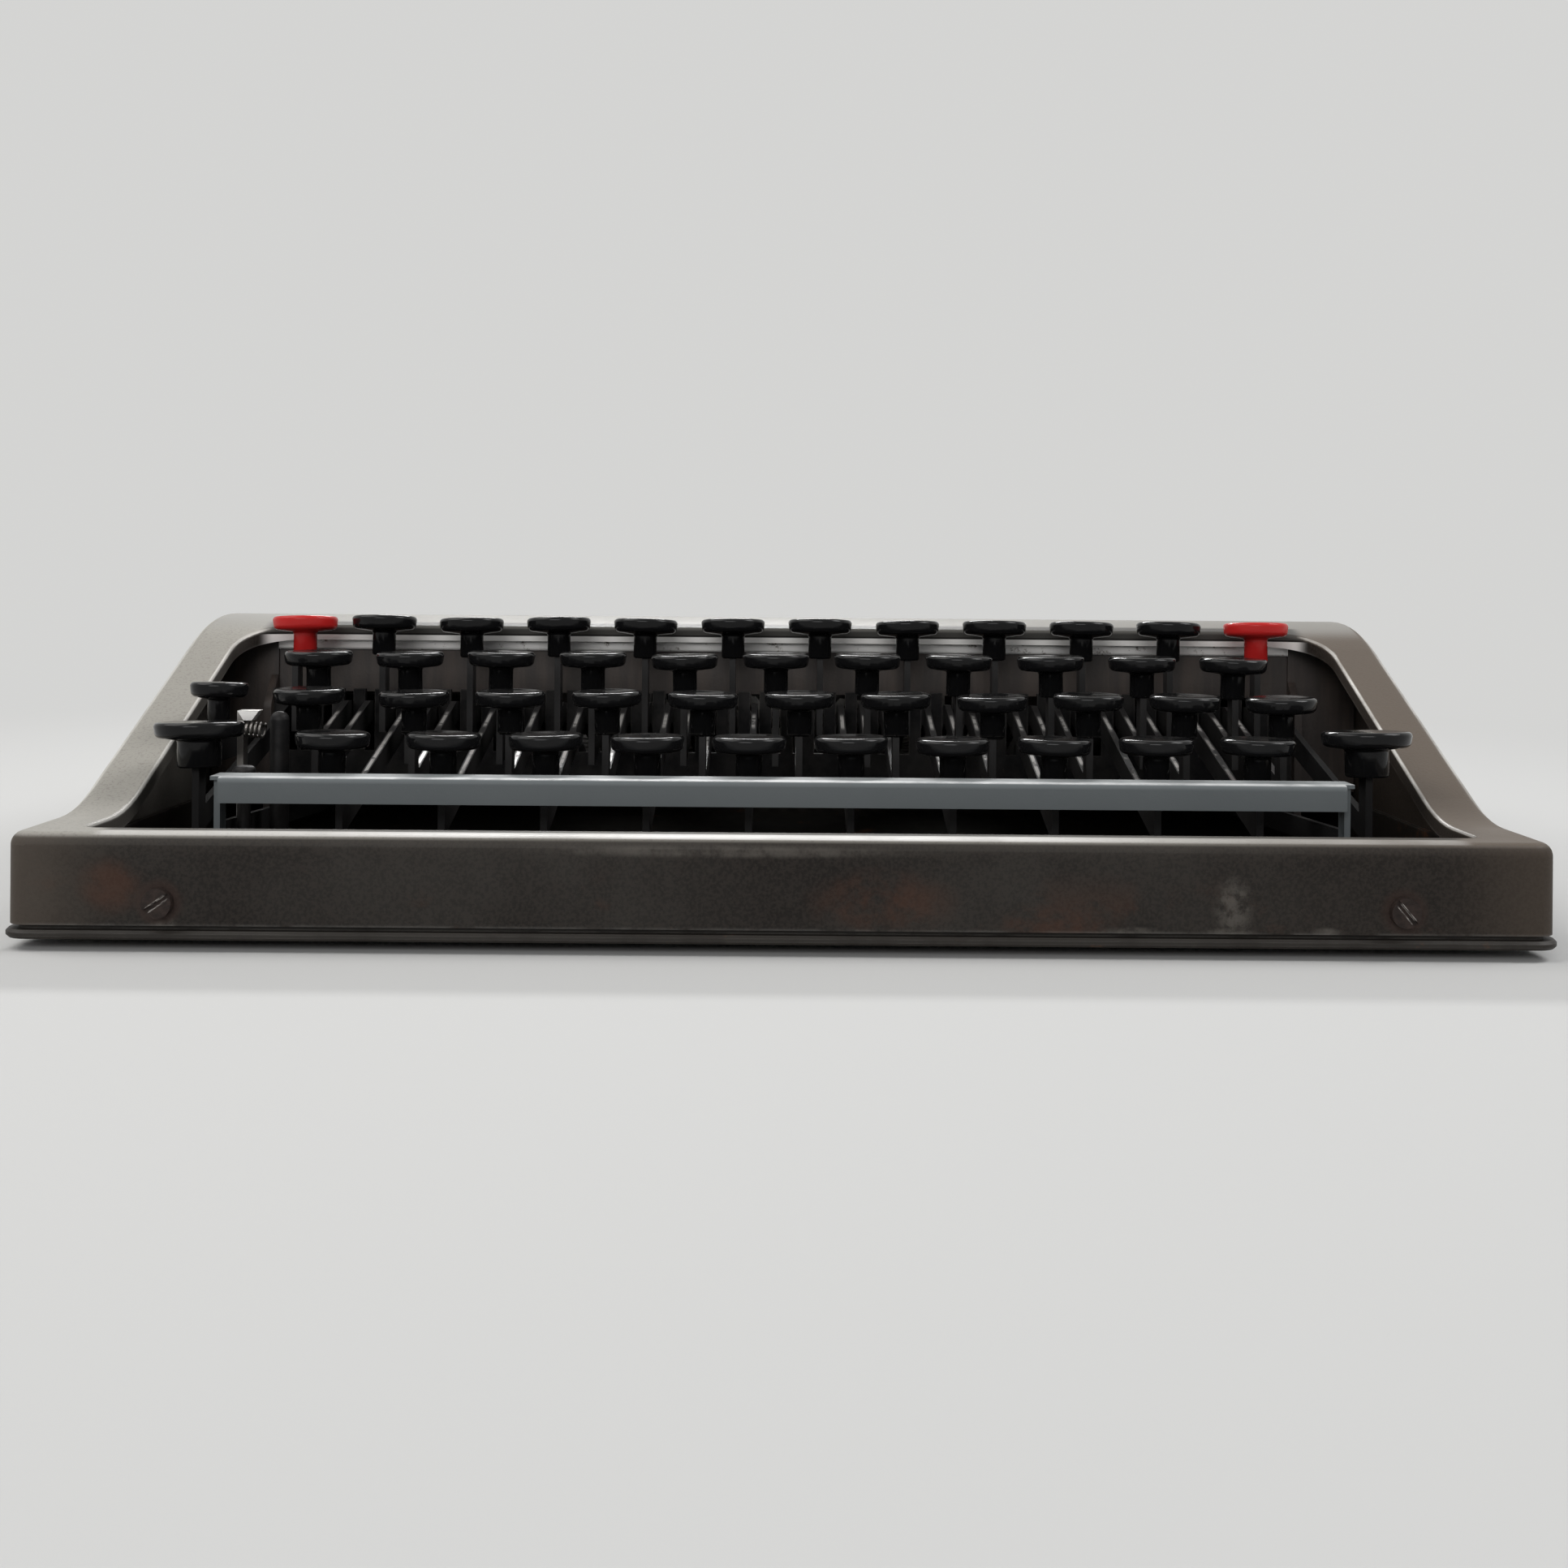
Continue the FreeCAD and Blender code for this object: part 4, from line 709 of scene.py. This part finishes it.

# Grime and painted shade on what stands upright, most of all on the front wall. Its top is paler, and its
# ends are painted lighter as a painted highlight on the rounded corners.
upright = span(tree, facing["Z"], 0.55, 0.10)
front_grime_and_shade = times(tree, at_front, span(tree, facing["Z"], 0.97, 0.55, top=0.97))
grime_and_shade_cloud = span(tree, noise(tree, where, 26.0, detail=7.0, roughness=0.62), 0.25, 0.75, 0.94, 1.0)
to_front = span(tree, facing["Y"], -0.2, -0.7, 0.82, 1.0)
grime_and_shade = times(tree, highest(tree, upright, front_grime_and_shade), grime_and_shade_cloud, to_front)
dirt_grain = span(tree, spots["Grain"], 0.35, 0.65)
dirt_and_shade = over(tree, dirt_grain, (0.0095, 0.0074, 0.0062, 1), (0.0225, 0.0180, 0.0152, 1))
wall_top = times(tree, at_front, zone(tree, spot["Z"], WALL_TOP, last=0.12))
dirt_and_shade = over(tree, wall_top, dirt_and_shade, (0.085, 0.070, 0.058, 1))
# The ends of the front wall are painted lighter: a painted highlight of their rounded corners.
wall_ends_highlight = times(tree, at_front, zone(tree, from_centre, WALL_ENDS), 0.6)
dirt_and_shade = over(tree, wall_ends_highlight, dirt_and_shade, (0.080, 0.062, 0.048, 1))
coat = over(tree, grime_and_shade, coat, dirt_and_shade)

# The lip at the back of the opening is dark, with a black line, a painted shadow of the gap, above its bare
# lower edge.
rear_lip = times(tree, zone(tree, spot["Z"], LIP_TOP), zone(tree, spot["Y"], LIP_BACK))
rear_lip = times(tree, rear_lip, zone(tree, spot["Z"], LIP_FOOT), within)
lip_front = times(tree, rear_lip, span(tree, facing["Y"], -0.6, -0.8))
coat = over(tree, times(tree, rear_lip, 0.9), coat, (0.060, 0.058, 0.053, 1))
coat = over(tree, times(tree, lip_front, zone(tree, spot["Z"], LIP_GAP_SHADOW)), coat, (0.008, 0.007, 0.006, 1))
coat = over(tree, times(tree, lip_front, zone(tree, spot["Z"], LIP_EDGE)), coat, (0.92, 0.90, 0.87, 1))

# The flat shelf behind the front edge is painted dark: painted shade, with dust.
shelf_shade_and_dust = times(tree, span(tree, facing["Z"], 0.90, 0.97), zone(tree, spot["Y"], SHELF_BACK), within)
shelf_shade_and_dust = times(tree, shelf_shade_and_dust, zone(tree, spot["Y"], SHELF_FRONT), 0.85)
coat = over(tree, shelf_shade_and_dust, coat, (0.050, 0.046, 0.040, 1))

# Rust low down and in blooms, scuffs, and a dark ring round each screw.
rust = times(tree, rust, zone(tree, spot["Z"], LOW_DOWN), 0.75)
rust = highest(tree, rust, *(patch_at(tree, where, *bloom) for bloom in RUST_BLOOMS))
coat = over(tree, times(tree, rust, 0.45), coat, (0.085, 0.036, 0.021, 1))
scuff = highest(tree, *(patch_at(tree, where, *mark) for mark in SCUFFS))
coat = over(tree, times(tree, scuff, 0.18), coat, (0.36, 0.33, 0.29, 1))
ring = zone(tree, from_screw(tree, where), SCREW_RING)
ring = times(tree, ring, span(tree, spots["Cloud"], 0.2, 0.6), 0.5)
coat = over(tree, ring, coat, (0.052, 0.030, 0.024, 1))

# Wear on edges; on the brow, where rails and cover turn over, painted highlight and rubbed paint; and a
# painted highlight line, broken like a scuff, along the front edge.
patchy = span(tree, noise(tree, where, 70.0, detail=5.0), 0.30, 0.55, 0.45, 1.0)
brow_highlight_and_wear = times(tree, span(tree, facing["Z"], 0.30, 0.48), span(tree, facing["Z"], 0.90, 0.80), patchy)
brow_highlight_and_wear = less(tree, brow_highlight_and_wear, rear_lip, at_front)
edges = times(tree, edges, span(tree, facing["Z"], 0.05, 0.30, 0.12, 1.0))
# This mask joins real edge wear with the painted highlight on the brow.
wear = times(tree, highest(tree, edges, brow_highlight_and_wear), 0.8)
coat = over(tree, wear, coat, (0.74, 0.72, 0.68, 1))
broken = span(tree, noise(tree, where, 60.0, detail=5.0), 0.30, 0.55, 0.6, 1.0)
front_highlight_line = times(tree, span(tree, facing["Z"], 0.78, 0.88), zone(tree, spot["Y"], SHELF_FRONT[::-1]))
front_highlight_line = times(tree, front_highlight_line, within, zone(tree, spot["X"], LINE_RIGHT, 1.0, 0.30))
front_highlight_line = times(tree, front_highlight_line, zone(tree, spot["X"], LINE_LEFT, 0.45, 1.0), broken)
coat = over(tree, front_highlight_line, coat, (0.86, 0.84, 0.81, 1))

rough = span(tree, highest(tree, spots["Cloud"], grime_and_shade), 0.2, 1.0, 0.36, 0.60)
lay(tree, shader, coat, rough, metal=times(tree, wear, 0.3), gloss=0.16)
relief(tree, shader, spots["Grain"], 0.09, strength=0.45)
dress("body_shell", case_paint)


# Case screws: slotted cheese heads of mild steel through the case into the tray's wall.
# Their plating is gone, the slots are burred bright by screwdrivers.
SCREW_SLOT = (2.1, 1.6)
screw_rust, tree, shader, where = finish_of("screw rust")
spots = apply(tree, mottle, {"Where": where, "Grain Scale": 3600.0, "Cloud Scale": 600.0})
wear = apply(tree, worn_edge, {"Where": where, "Reach": 0.4 * MM, "Patch Scale": 900.0})["Mask"]
wear = times(tree, wear, zone(tree, from_screw(tree, where), SCREW_SLOT))
coat = over(tree, span(tree, spots["Cloud"], 0.3, 0.7), (0.014, 0.0095, 0.008, 1), (0.036, 0.024, 0.020, 1))
coat = over(tree, wear, coat, (0.62, 0.58, 0.54, 1))
rough = span(tree, wear, 0.0, 1.0, 0.62, 0.28)
lay(tree, shader, coat, rough, metal=times(tree, wear, 0.6), gloss=0.2)
relief(tree, shader, spots["Grain"], 0.08)
dress("shell_screws", screw_rust)


# Ribbon spools: pressed reels that turn on posts under the cover, wound with inked ribbon.
# Flanges are blackened steel; the winding between them is dull cloth.
SPOOL_X = 86.6
SPOOL_Y = 8.15
RIBBON_RADIUS = 17.0
RIBBON_SLACK = 0.45


def on_ribbon(middle):
    """The outside of a spool's winding, by its distance from the axis, with both sides folded onto one."""
    x, y, _ = middle.T
    from_axis = np.hypot(np.abs(x) - SPOOL_X, y - SPOOL_Y)
    return np.abs(from_axis - RIBBON_RADIUS) < RIBBON_SLACK


spool_steel = aged_steel("spool steel", (0.05, 0.049, 0.048, 1), (0.16, 0.155, 0.15, 1),
                         smooth=0.32, rusty=0.68)

ribbon_cloth, tree, shader, where = finish_of("ribbon cloth")
turns_across = add(tree, "Mapping", {"Vector": where, "Scale": (0.02, 0.02, 1.0)}).outputs[0]
layers = noise(tree, turns_across, 5200.0, detail=2.0)
coat = over(tree, layers, (0.006, 0.006, 0.009, 1), (0.032, 0.030, 0.040, 1))
lay(tree, shader, coat, span(tree, layers, 0.3, 0.7, 0.75, 0.9))
relief(tree, shader, layers, 0.12, strength=0.7)

for name in ("ribbon_spool_left", "ribbon_spool_right"):
    dress(name, spool_steel, ribbon_cloth)
    painted_by_place(name, on_ribbon)


# Shift frame: two ground rails on side arms, hinged at the back, that lift the carriage for capitals.
# Plain bright steel with a film of old oil.
rail_steel = aged_steel("rail steel", (0.20, 0.195, 0.19, 1), (0.46, 0.45, 0.43, 1), smooth=0.24, rusty=0.70)
dress("carriage_rail", rail_steel)


# Carriage: end plates, base plate and paper table folded from sheet steel.
# Enamelled black, chipped to bright steel along the edges.
carriage_enamel, tree, shader, where = finish_of("carriage enamel")
spots = apply(tree, mottle, {"Where": where, "Grain Scale": 1600.0, "Cloud Scale": 50.0})
wear = apply(tree, worn_edge, {"Where": where, "Reach": 0.6 * MM, "Patch Scale": 200.0})["Mask"]
coat = over(tree, spots["Cloud"], (0.014, 0.014, 0.015, 1), (0.040, 0.038, 0.036, 1))
coat = over(tree, wear, coat, (0.50, 0.49, 0.47, 1))
lay(tree, shader, coat, span(tree, spots["Cloud"], 0.2, 0.8, 0.26, 0.44), metal=times(tree, wear, 0.9))
relief(tree, shader, spots["Grain"], 0.03)
dress("carriage_frame", carriage_enamel)


# Platen: a rubber roller on a steel axle, with a toothed wheel and a fluted moulded knob at each end.
# The rubber has gone hard and cloudy, with fine dents from the type.
PLATEN_AXLE = (58.15, 39.0)
PLATEN_AROUND = 168
FLUTES = 28
SHARP = math.radians(50.0)

platen_rubber, tree, shader, where = finish_of("platen rubber")
spots = apply(tree, mottle, {"Where": where, "Grain Scale": 2600.0, "Cloud Scale": 70.0})
strokes = add(tree, "Mapping", {"Vector": where, "Scale": (1.0, 0.15, 0.15)}).outputs[0]
coat = over(tree, spots["Cloud"], (0.012, 0.012, 0.012, 1), (0.045, 0.044, 0.042, 1))
lay(tree, shader, coat, span(tree, spots["Cloud"], 0.3, 0.7, 0.42, 0.66))
relief(tree, shader, noise(tree, strokes, 900.0), 0.06)

# Outline from the left knob to the middle: place along the axle, radius, depth of flutes or teeth, finish.
# Finishes: rubber 0, steel 1, moulded knob 2.
half_roller = np.array([
    (-133.9, 2.0, 0.0, 1), (-133.6, 2.4, 0.0, 1), (-133.6, 3.0, 0.0, 2), (-133.9, 3.4, 0.0, 2),
    (-133.9, 7.4, 0.0, 2), (-133.4, 8.8, 0.0, 2), (-132.6, 9.45, 0.05, 2), (-123.6, 9.45, 0.05, 2),
    (-122.6, 8.8, 0.0, 2), (-122.0, 8.0, 0.0, 2), (-122.0, 3.0, 0.0, 1), (-117.2, 3.0, 0.0, 1),
    (-117.2, 10.6, 0.09, 1), (-115.9, 10.6, 0.09, 1), (-115.9, 4.0, 0.0, 1), (-115.0, 4.0, 0.0, 0),
    (-115.0, 11.3, 0.0, 0), (-114.8, 11.75, 0.0, 0), (-114.3, 12.0, 0.0, 0), (-60.0, 12.0, 0.0, 0),
])
whole_roller = np.concatenate([half_roller, half_roller[::-1] * (-1, 1, 1, 1)])


def spun(outline, axle, around, flutes=0):
    """An outline turned about an axle along X, with its radius cut in waves by the flutes.

    The outline's rows are place, radius r and flute depth d, a share of the radius. At the angle a the
    reach is r (1 - d (1 - cos(flutes a)) / 2). The axle is (y, z).
    """
    angle = np.linspace(0.0, 2 * np.pi, around, endpoint=False)
    along, radius, depth = (outline[:, column][:, None] for column in range(3))
    reach = radius * (1 - depth * (0.5 - 0.5 * np.cos(flutes * angle)))
    y = axle[0] + reach * np.cos(angle)
    z = axle[1] + reach * np.sin(angle)
    points = np.stack([np.broadcast_to(along, reach.shape), y, z], -1)
    return points.reshape(-1, 3), [grid_faces(len(outline), around)[:, ::-1],
                                   end_faces(len(outline), around)[:, ::-1]]


def finish_rows(made, row_finishes, around, end_finish):
    """Give each row of a spun piece's faces its finish, and both ends theirs, and keep its edges crisp."""
    numbers = np.append(np.repeat(row_finishes, around), [end_finish, end_finish])
    made.data.polygons.foreach_set("material_index", numbers.astype(np.int32))
    crisp = made.modifiers.new("crisp edges", "EDGE_SPLIT")
    crisp.split_angle = SHARP


roller_shape = spun(whole_roller, PLATEN_AXLE, PLATEN_AROUND, FLUTES)
roller = piece("platen_roller", *roller_shape, [platen_rubber, rail_steel, key_black])
finish_rows(roller, np.maximum(whole_roller[:-1, 3], whole_roller[1:, 3]), PLATEN_AROUND, 1)
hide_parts("platen")
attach(roller, "platen")


# Paper bail: a thin rod with two rubber rollers that holds the sheet against the platen.
# Its two arms hang on the carriage's end plates.
BAIL_AXLE = (48.9, 50.0)
BAIL_END = 117.6
BAIL_AROUND = 24
BAIL_ROLLERS = (-46.0, 46.0)
ARM_PATH = [(47.6, 50.6), (49.4, 49.7), (53.0, 47.6), (58.0, 44.6), (64.0, 42.6)]
ARM_BEVEL = 0.1
# Outlines as (place along the rod, radius): the rod's left end, and a roller about its middle.
rod_end = [(-BAIL_END, 0.5), (-117.3, 1.1)]
small_roller = [(-7.0, 1.1), (-7.0, 2.0), (-6.6, 2.4), (6.6, 2.4), (7.0, 2.0), (7.0, 1.1)]


def strip(path, half_width, x, gauge):
    """A flat strip in the YZ plane along a path, half_width to each side, gauge thick about x."""
    path = np.asarray(path, float)
    run = np.gradient(path, axis=0)
    aside = np.stack([-run[:, 1], run[:, 0]], -1) / np.linalg.norm(run, axis=1)[:, None] * half_width
    ring = np.stack([path + aside, path + aside, path - aside, path - aside], 1)
    faces_x = x + gauge / 2 * np.array([-1.0, 1.0, 1.0, -1.0])
    across = np.broadcast_to(faces_x[None, :, None], ring[..., :1].shape)
    points = np.concatenate([across, ring], -1).reshape(-1, 3)
    return points, [grid_faces(len(path), 4), end_faces(len(path), 4)]


rollers = [(middle + x, radius) for middle in BAIL_ROLLERS for x, radius in small_roller]
bail_outline = np.array(rod_end + rollers + [(-x, radius) for x, radius in rod_end[::-1]])
bail_shape = spun(np.insert(bail_outline, 2, 0.0, axis=1), BAIL_AXLE, BAIL_AROUND)
bail_rod = piece("paper_bail", *bail_shape, [rail_steel, platen_rubber])
on_roller = [1] * (len(small_roller) - 1) + [0]
finish_rows(bail_rod, [0, 0] + on_roller * len(BAIL_ROLLERS) + [0], BAIL_AROUND, 0)
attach(bail_rod, "carriage")
for side, name in ((-1, "bail_arm_left"), (1, "bail_arm_right")):
    arm_shape = strip(ARM_PATH, half_width=1.7, x=side * BAIL_END, gauge=0.5)
    bail_arm = piece(name, *arm_shape, [rail_steel], smooth=False)
    corners = bail_arm.modifiers.new("edges", "BEVEL")
    corners.width = ARM_BEVEL * MM
    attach(bail_arm, "carriage")


# Carriage return lever: a flat arm on a post at the left end of the carriage.
# Chromed, with the plating clouded and pitted.
lever_chrome = aged_steel("lever chrome", (0.42, 0.42, 0.42, 1), (0.66, 0.66, 0.65, 1),
                          smooth=0.14, rusty=0.70)
dress("return_lever", lever_chrome)


# Studio: a pale floor that melts into the pale surroundings and keeps the shadow under the machine.
# Four soft lamps: the main one at the upper left, one behind, one at the right and a fill in front.
BACKDROP = (0.66, 0.66, 0.65, 1)
FLOOR_RINGS = (50.0, 400.0, 1200.0, 4000.0, 30000.0)
FLOOR_FADE = (220.0, 550.0)
KEYBOARD = (0.0, -0.03, 0.02)
FRONT_WALL = (0.0, -0.1, 0.03)


def seen_directly(tree):
    """A mask of the rays that show a surface: from the camera, mirrored or through glass."""
    rays = tree.nodes.new("ShaderNodeLightPath").outputs
    return highest(tree, rays["Is Camera Ray"], rays["Is Glossy Ray"], rays["Is Transmission Ray"])


floor_finish, tree, shader, where = finish_of("floor")
shader.inputs["Base Color"].default_value = (0.68, 0.68, 0.67, 1)
shader.inputs["Roughness"].default_value = 0.85
away = add(tree, "VectorMath", {0: where}, operation="LENGTH").outputs["Value"]
faded = times(tree, zone(tree, away, FLOOR_FADE), seen_directly(tree))
glow = add(tree, "Emission", {"Color": BACKDROP, "Strength": 1.0}).outputs[0]
mixed = add(tree, "MixShader", {0: faded, 1: shader.outputs[0], 2: glow}).outputs[0]
tree.links.new(mixed, tree.nodes["Material Output"].inputs["Surface"])
floor_profile = np.stack([FLOOR_RINGS, np.zeros(len(FLOOR_RINGS))], -1)
floor_points, (floor_rings, floor_ends) = turned(floor_profile, around=64)
floor = piece("floor", floor_points, [floor_rings, floor_ends[:1]], [floor_finish], smooth=False)

world = bpy.data.worlds.new("surroundings")
bpy.context.scene.world = world
world.use_nodes = True
tree = world.node_tree
sky = tree.nodes["Background"]
sky.inputs["Color"].default_value = (0.80, 0.82, 0.86, 1)
sky.inputs["Strength"].default_value = 0.18
shown = add(tree, "Background", {"Color": BACKDROP, "Strength": 1.0}).outputs[0]
mixed = add(tree, "MixShader", {0: seen_directly(tree), 1: sky.outputs[0], 2: shown}).outputs[0]
tree.links.new(mixed, tree.nodes["World Output"].inputs["Surface"])


def lamp(name, place, aim, width, depth, power, colour=(1.0, 1.0, 1.0)):
    """A soft rectangular lamp turned to face a point."""
    light = bpy.data.lights.new(name, "AREA")
    light.shape = "RECTANGLE"
    light.size = width
    light.size_y = depth
    light.energy = power
    light.color = colour
    made = bpy.data.objects.new(name, light)
    bpy.context.scene.collection.objects.link(made)
    made.location = place
    beam = np.subtract(aim, place)
    made.rotation_euler = (math.acos(beam[2] / -np.linalg.norm(beam)), 0.0, math.atan2(-beam[0], beam[1]))


lamp("overhead", (-0.60, -0.12, 0.80), KEYBOARD, width=0.8, depth=0.6, power=4.3, colour=(1.0, 0.985, 0.96))
lamp("rear_tube", (-0.10, 1.00, 0.75), KEYBOARD, width=0.5, depth=0.12, power=5.6)
lamp("right_kick", (0.65, -0.10, 0.75), KEYBOARD, width=0.4, depth=0.4, power=3.6)
lamp("front_fill", (-0.25, -1.4, 0.60), FRONT_WALL, width=0.9, depth=0.5, power=6.5)


# Camera: just above the top row of keys, at the typist's side, as the photograph was taken.
# The optical axis is level, so the frame is shifted down; the slight lean is the photograph's.
FOCAL_PIXELS = 2225.0
IMAGE_PIXELS = 1932.0
HORIZON_ROW = 710.0
view = bpy.data.cameras.new("camera")
view.sensor_width = 36.0
view.lens = FOCAL_PIXELS / IMAGE_PIXELS * view.sensor_width
view.shift_y = (HORIZON_ROW - IMAGE_PIXELS / 2) / IMAGE_PIXELS
view.clip_start = 0.01
camera = bpy.data.objects.new("camera", view)
camera.location = (0.0, -0.428, 0.0635)
camera.rotation_euler = (math.radians(90.0), math.radians(-0.45), 0.0)
bpy.context.scene.collection.objects.link(camera)
bpy.context.scene.camera = camera

bpy.context.scene.view_settings.view_transform = "Standard"
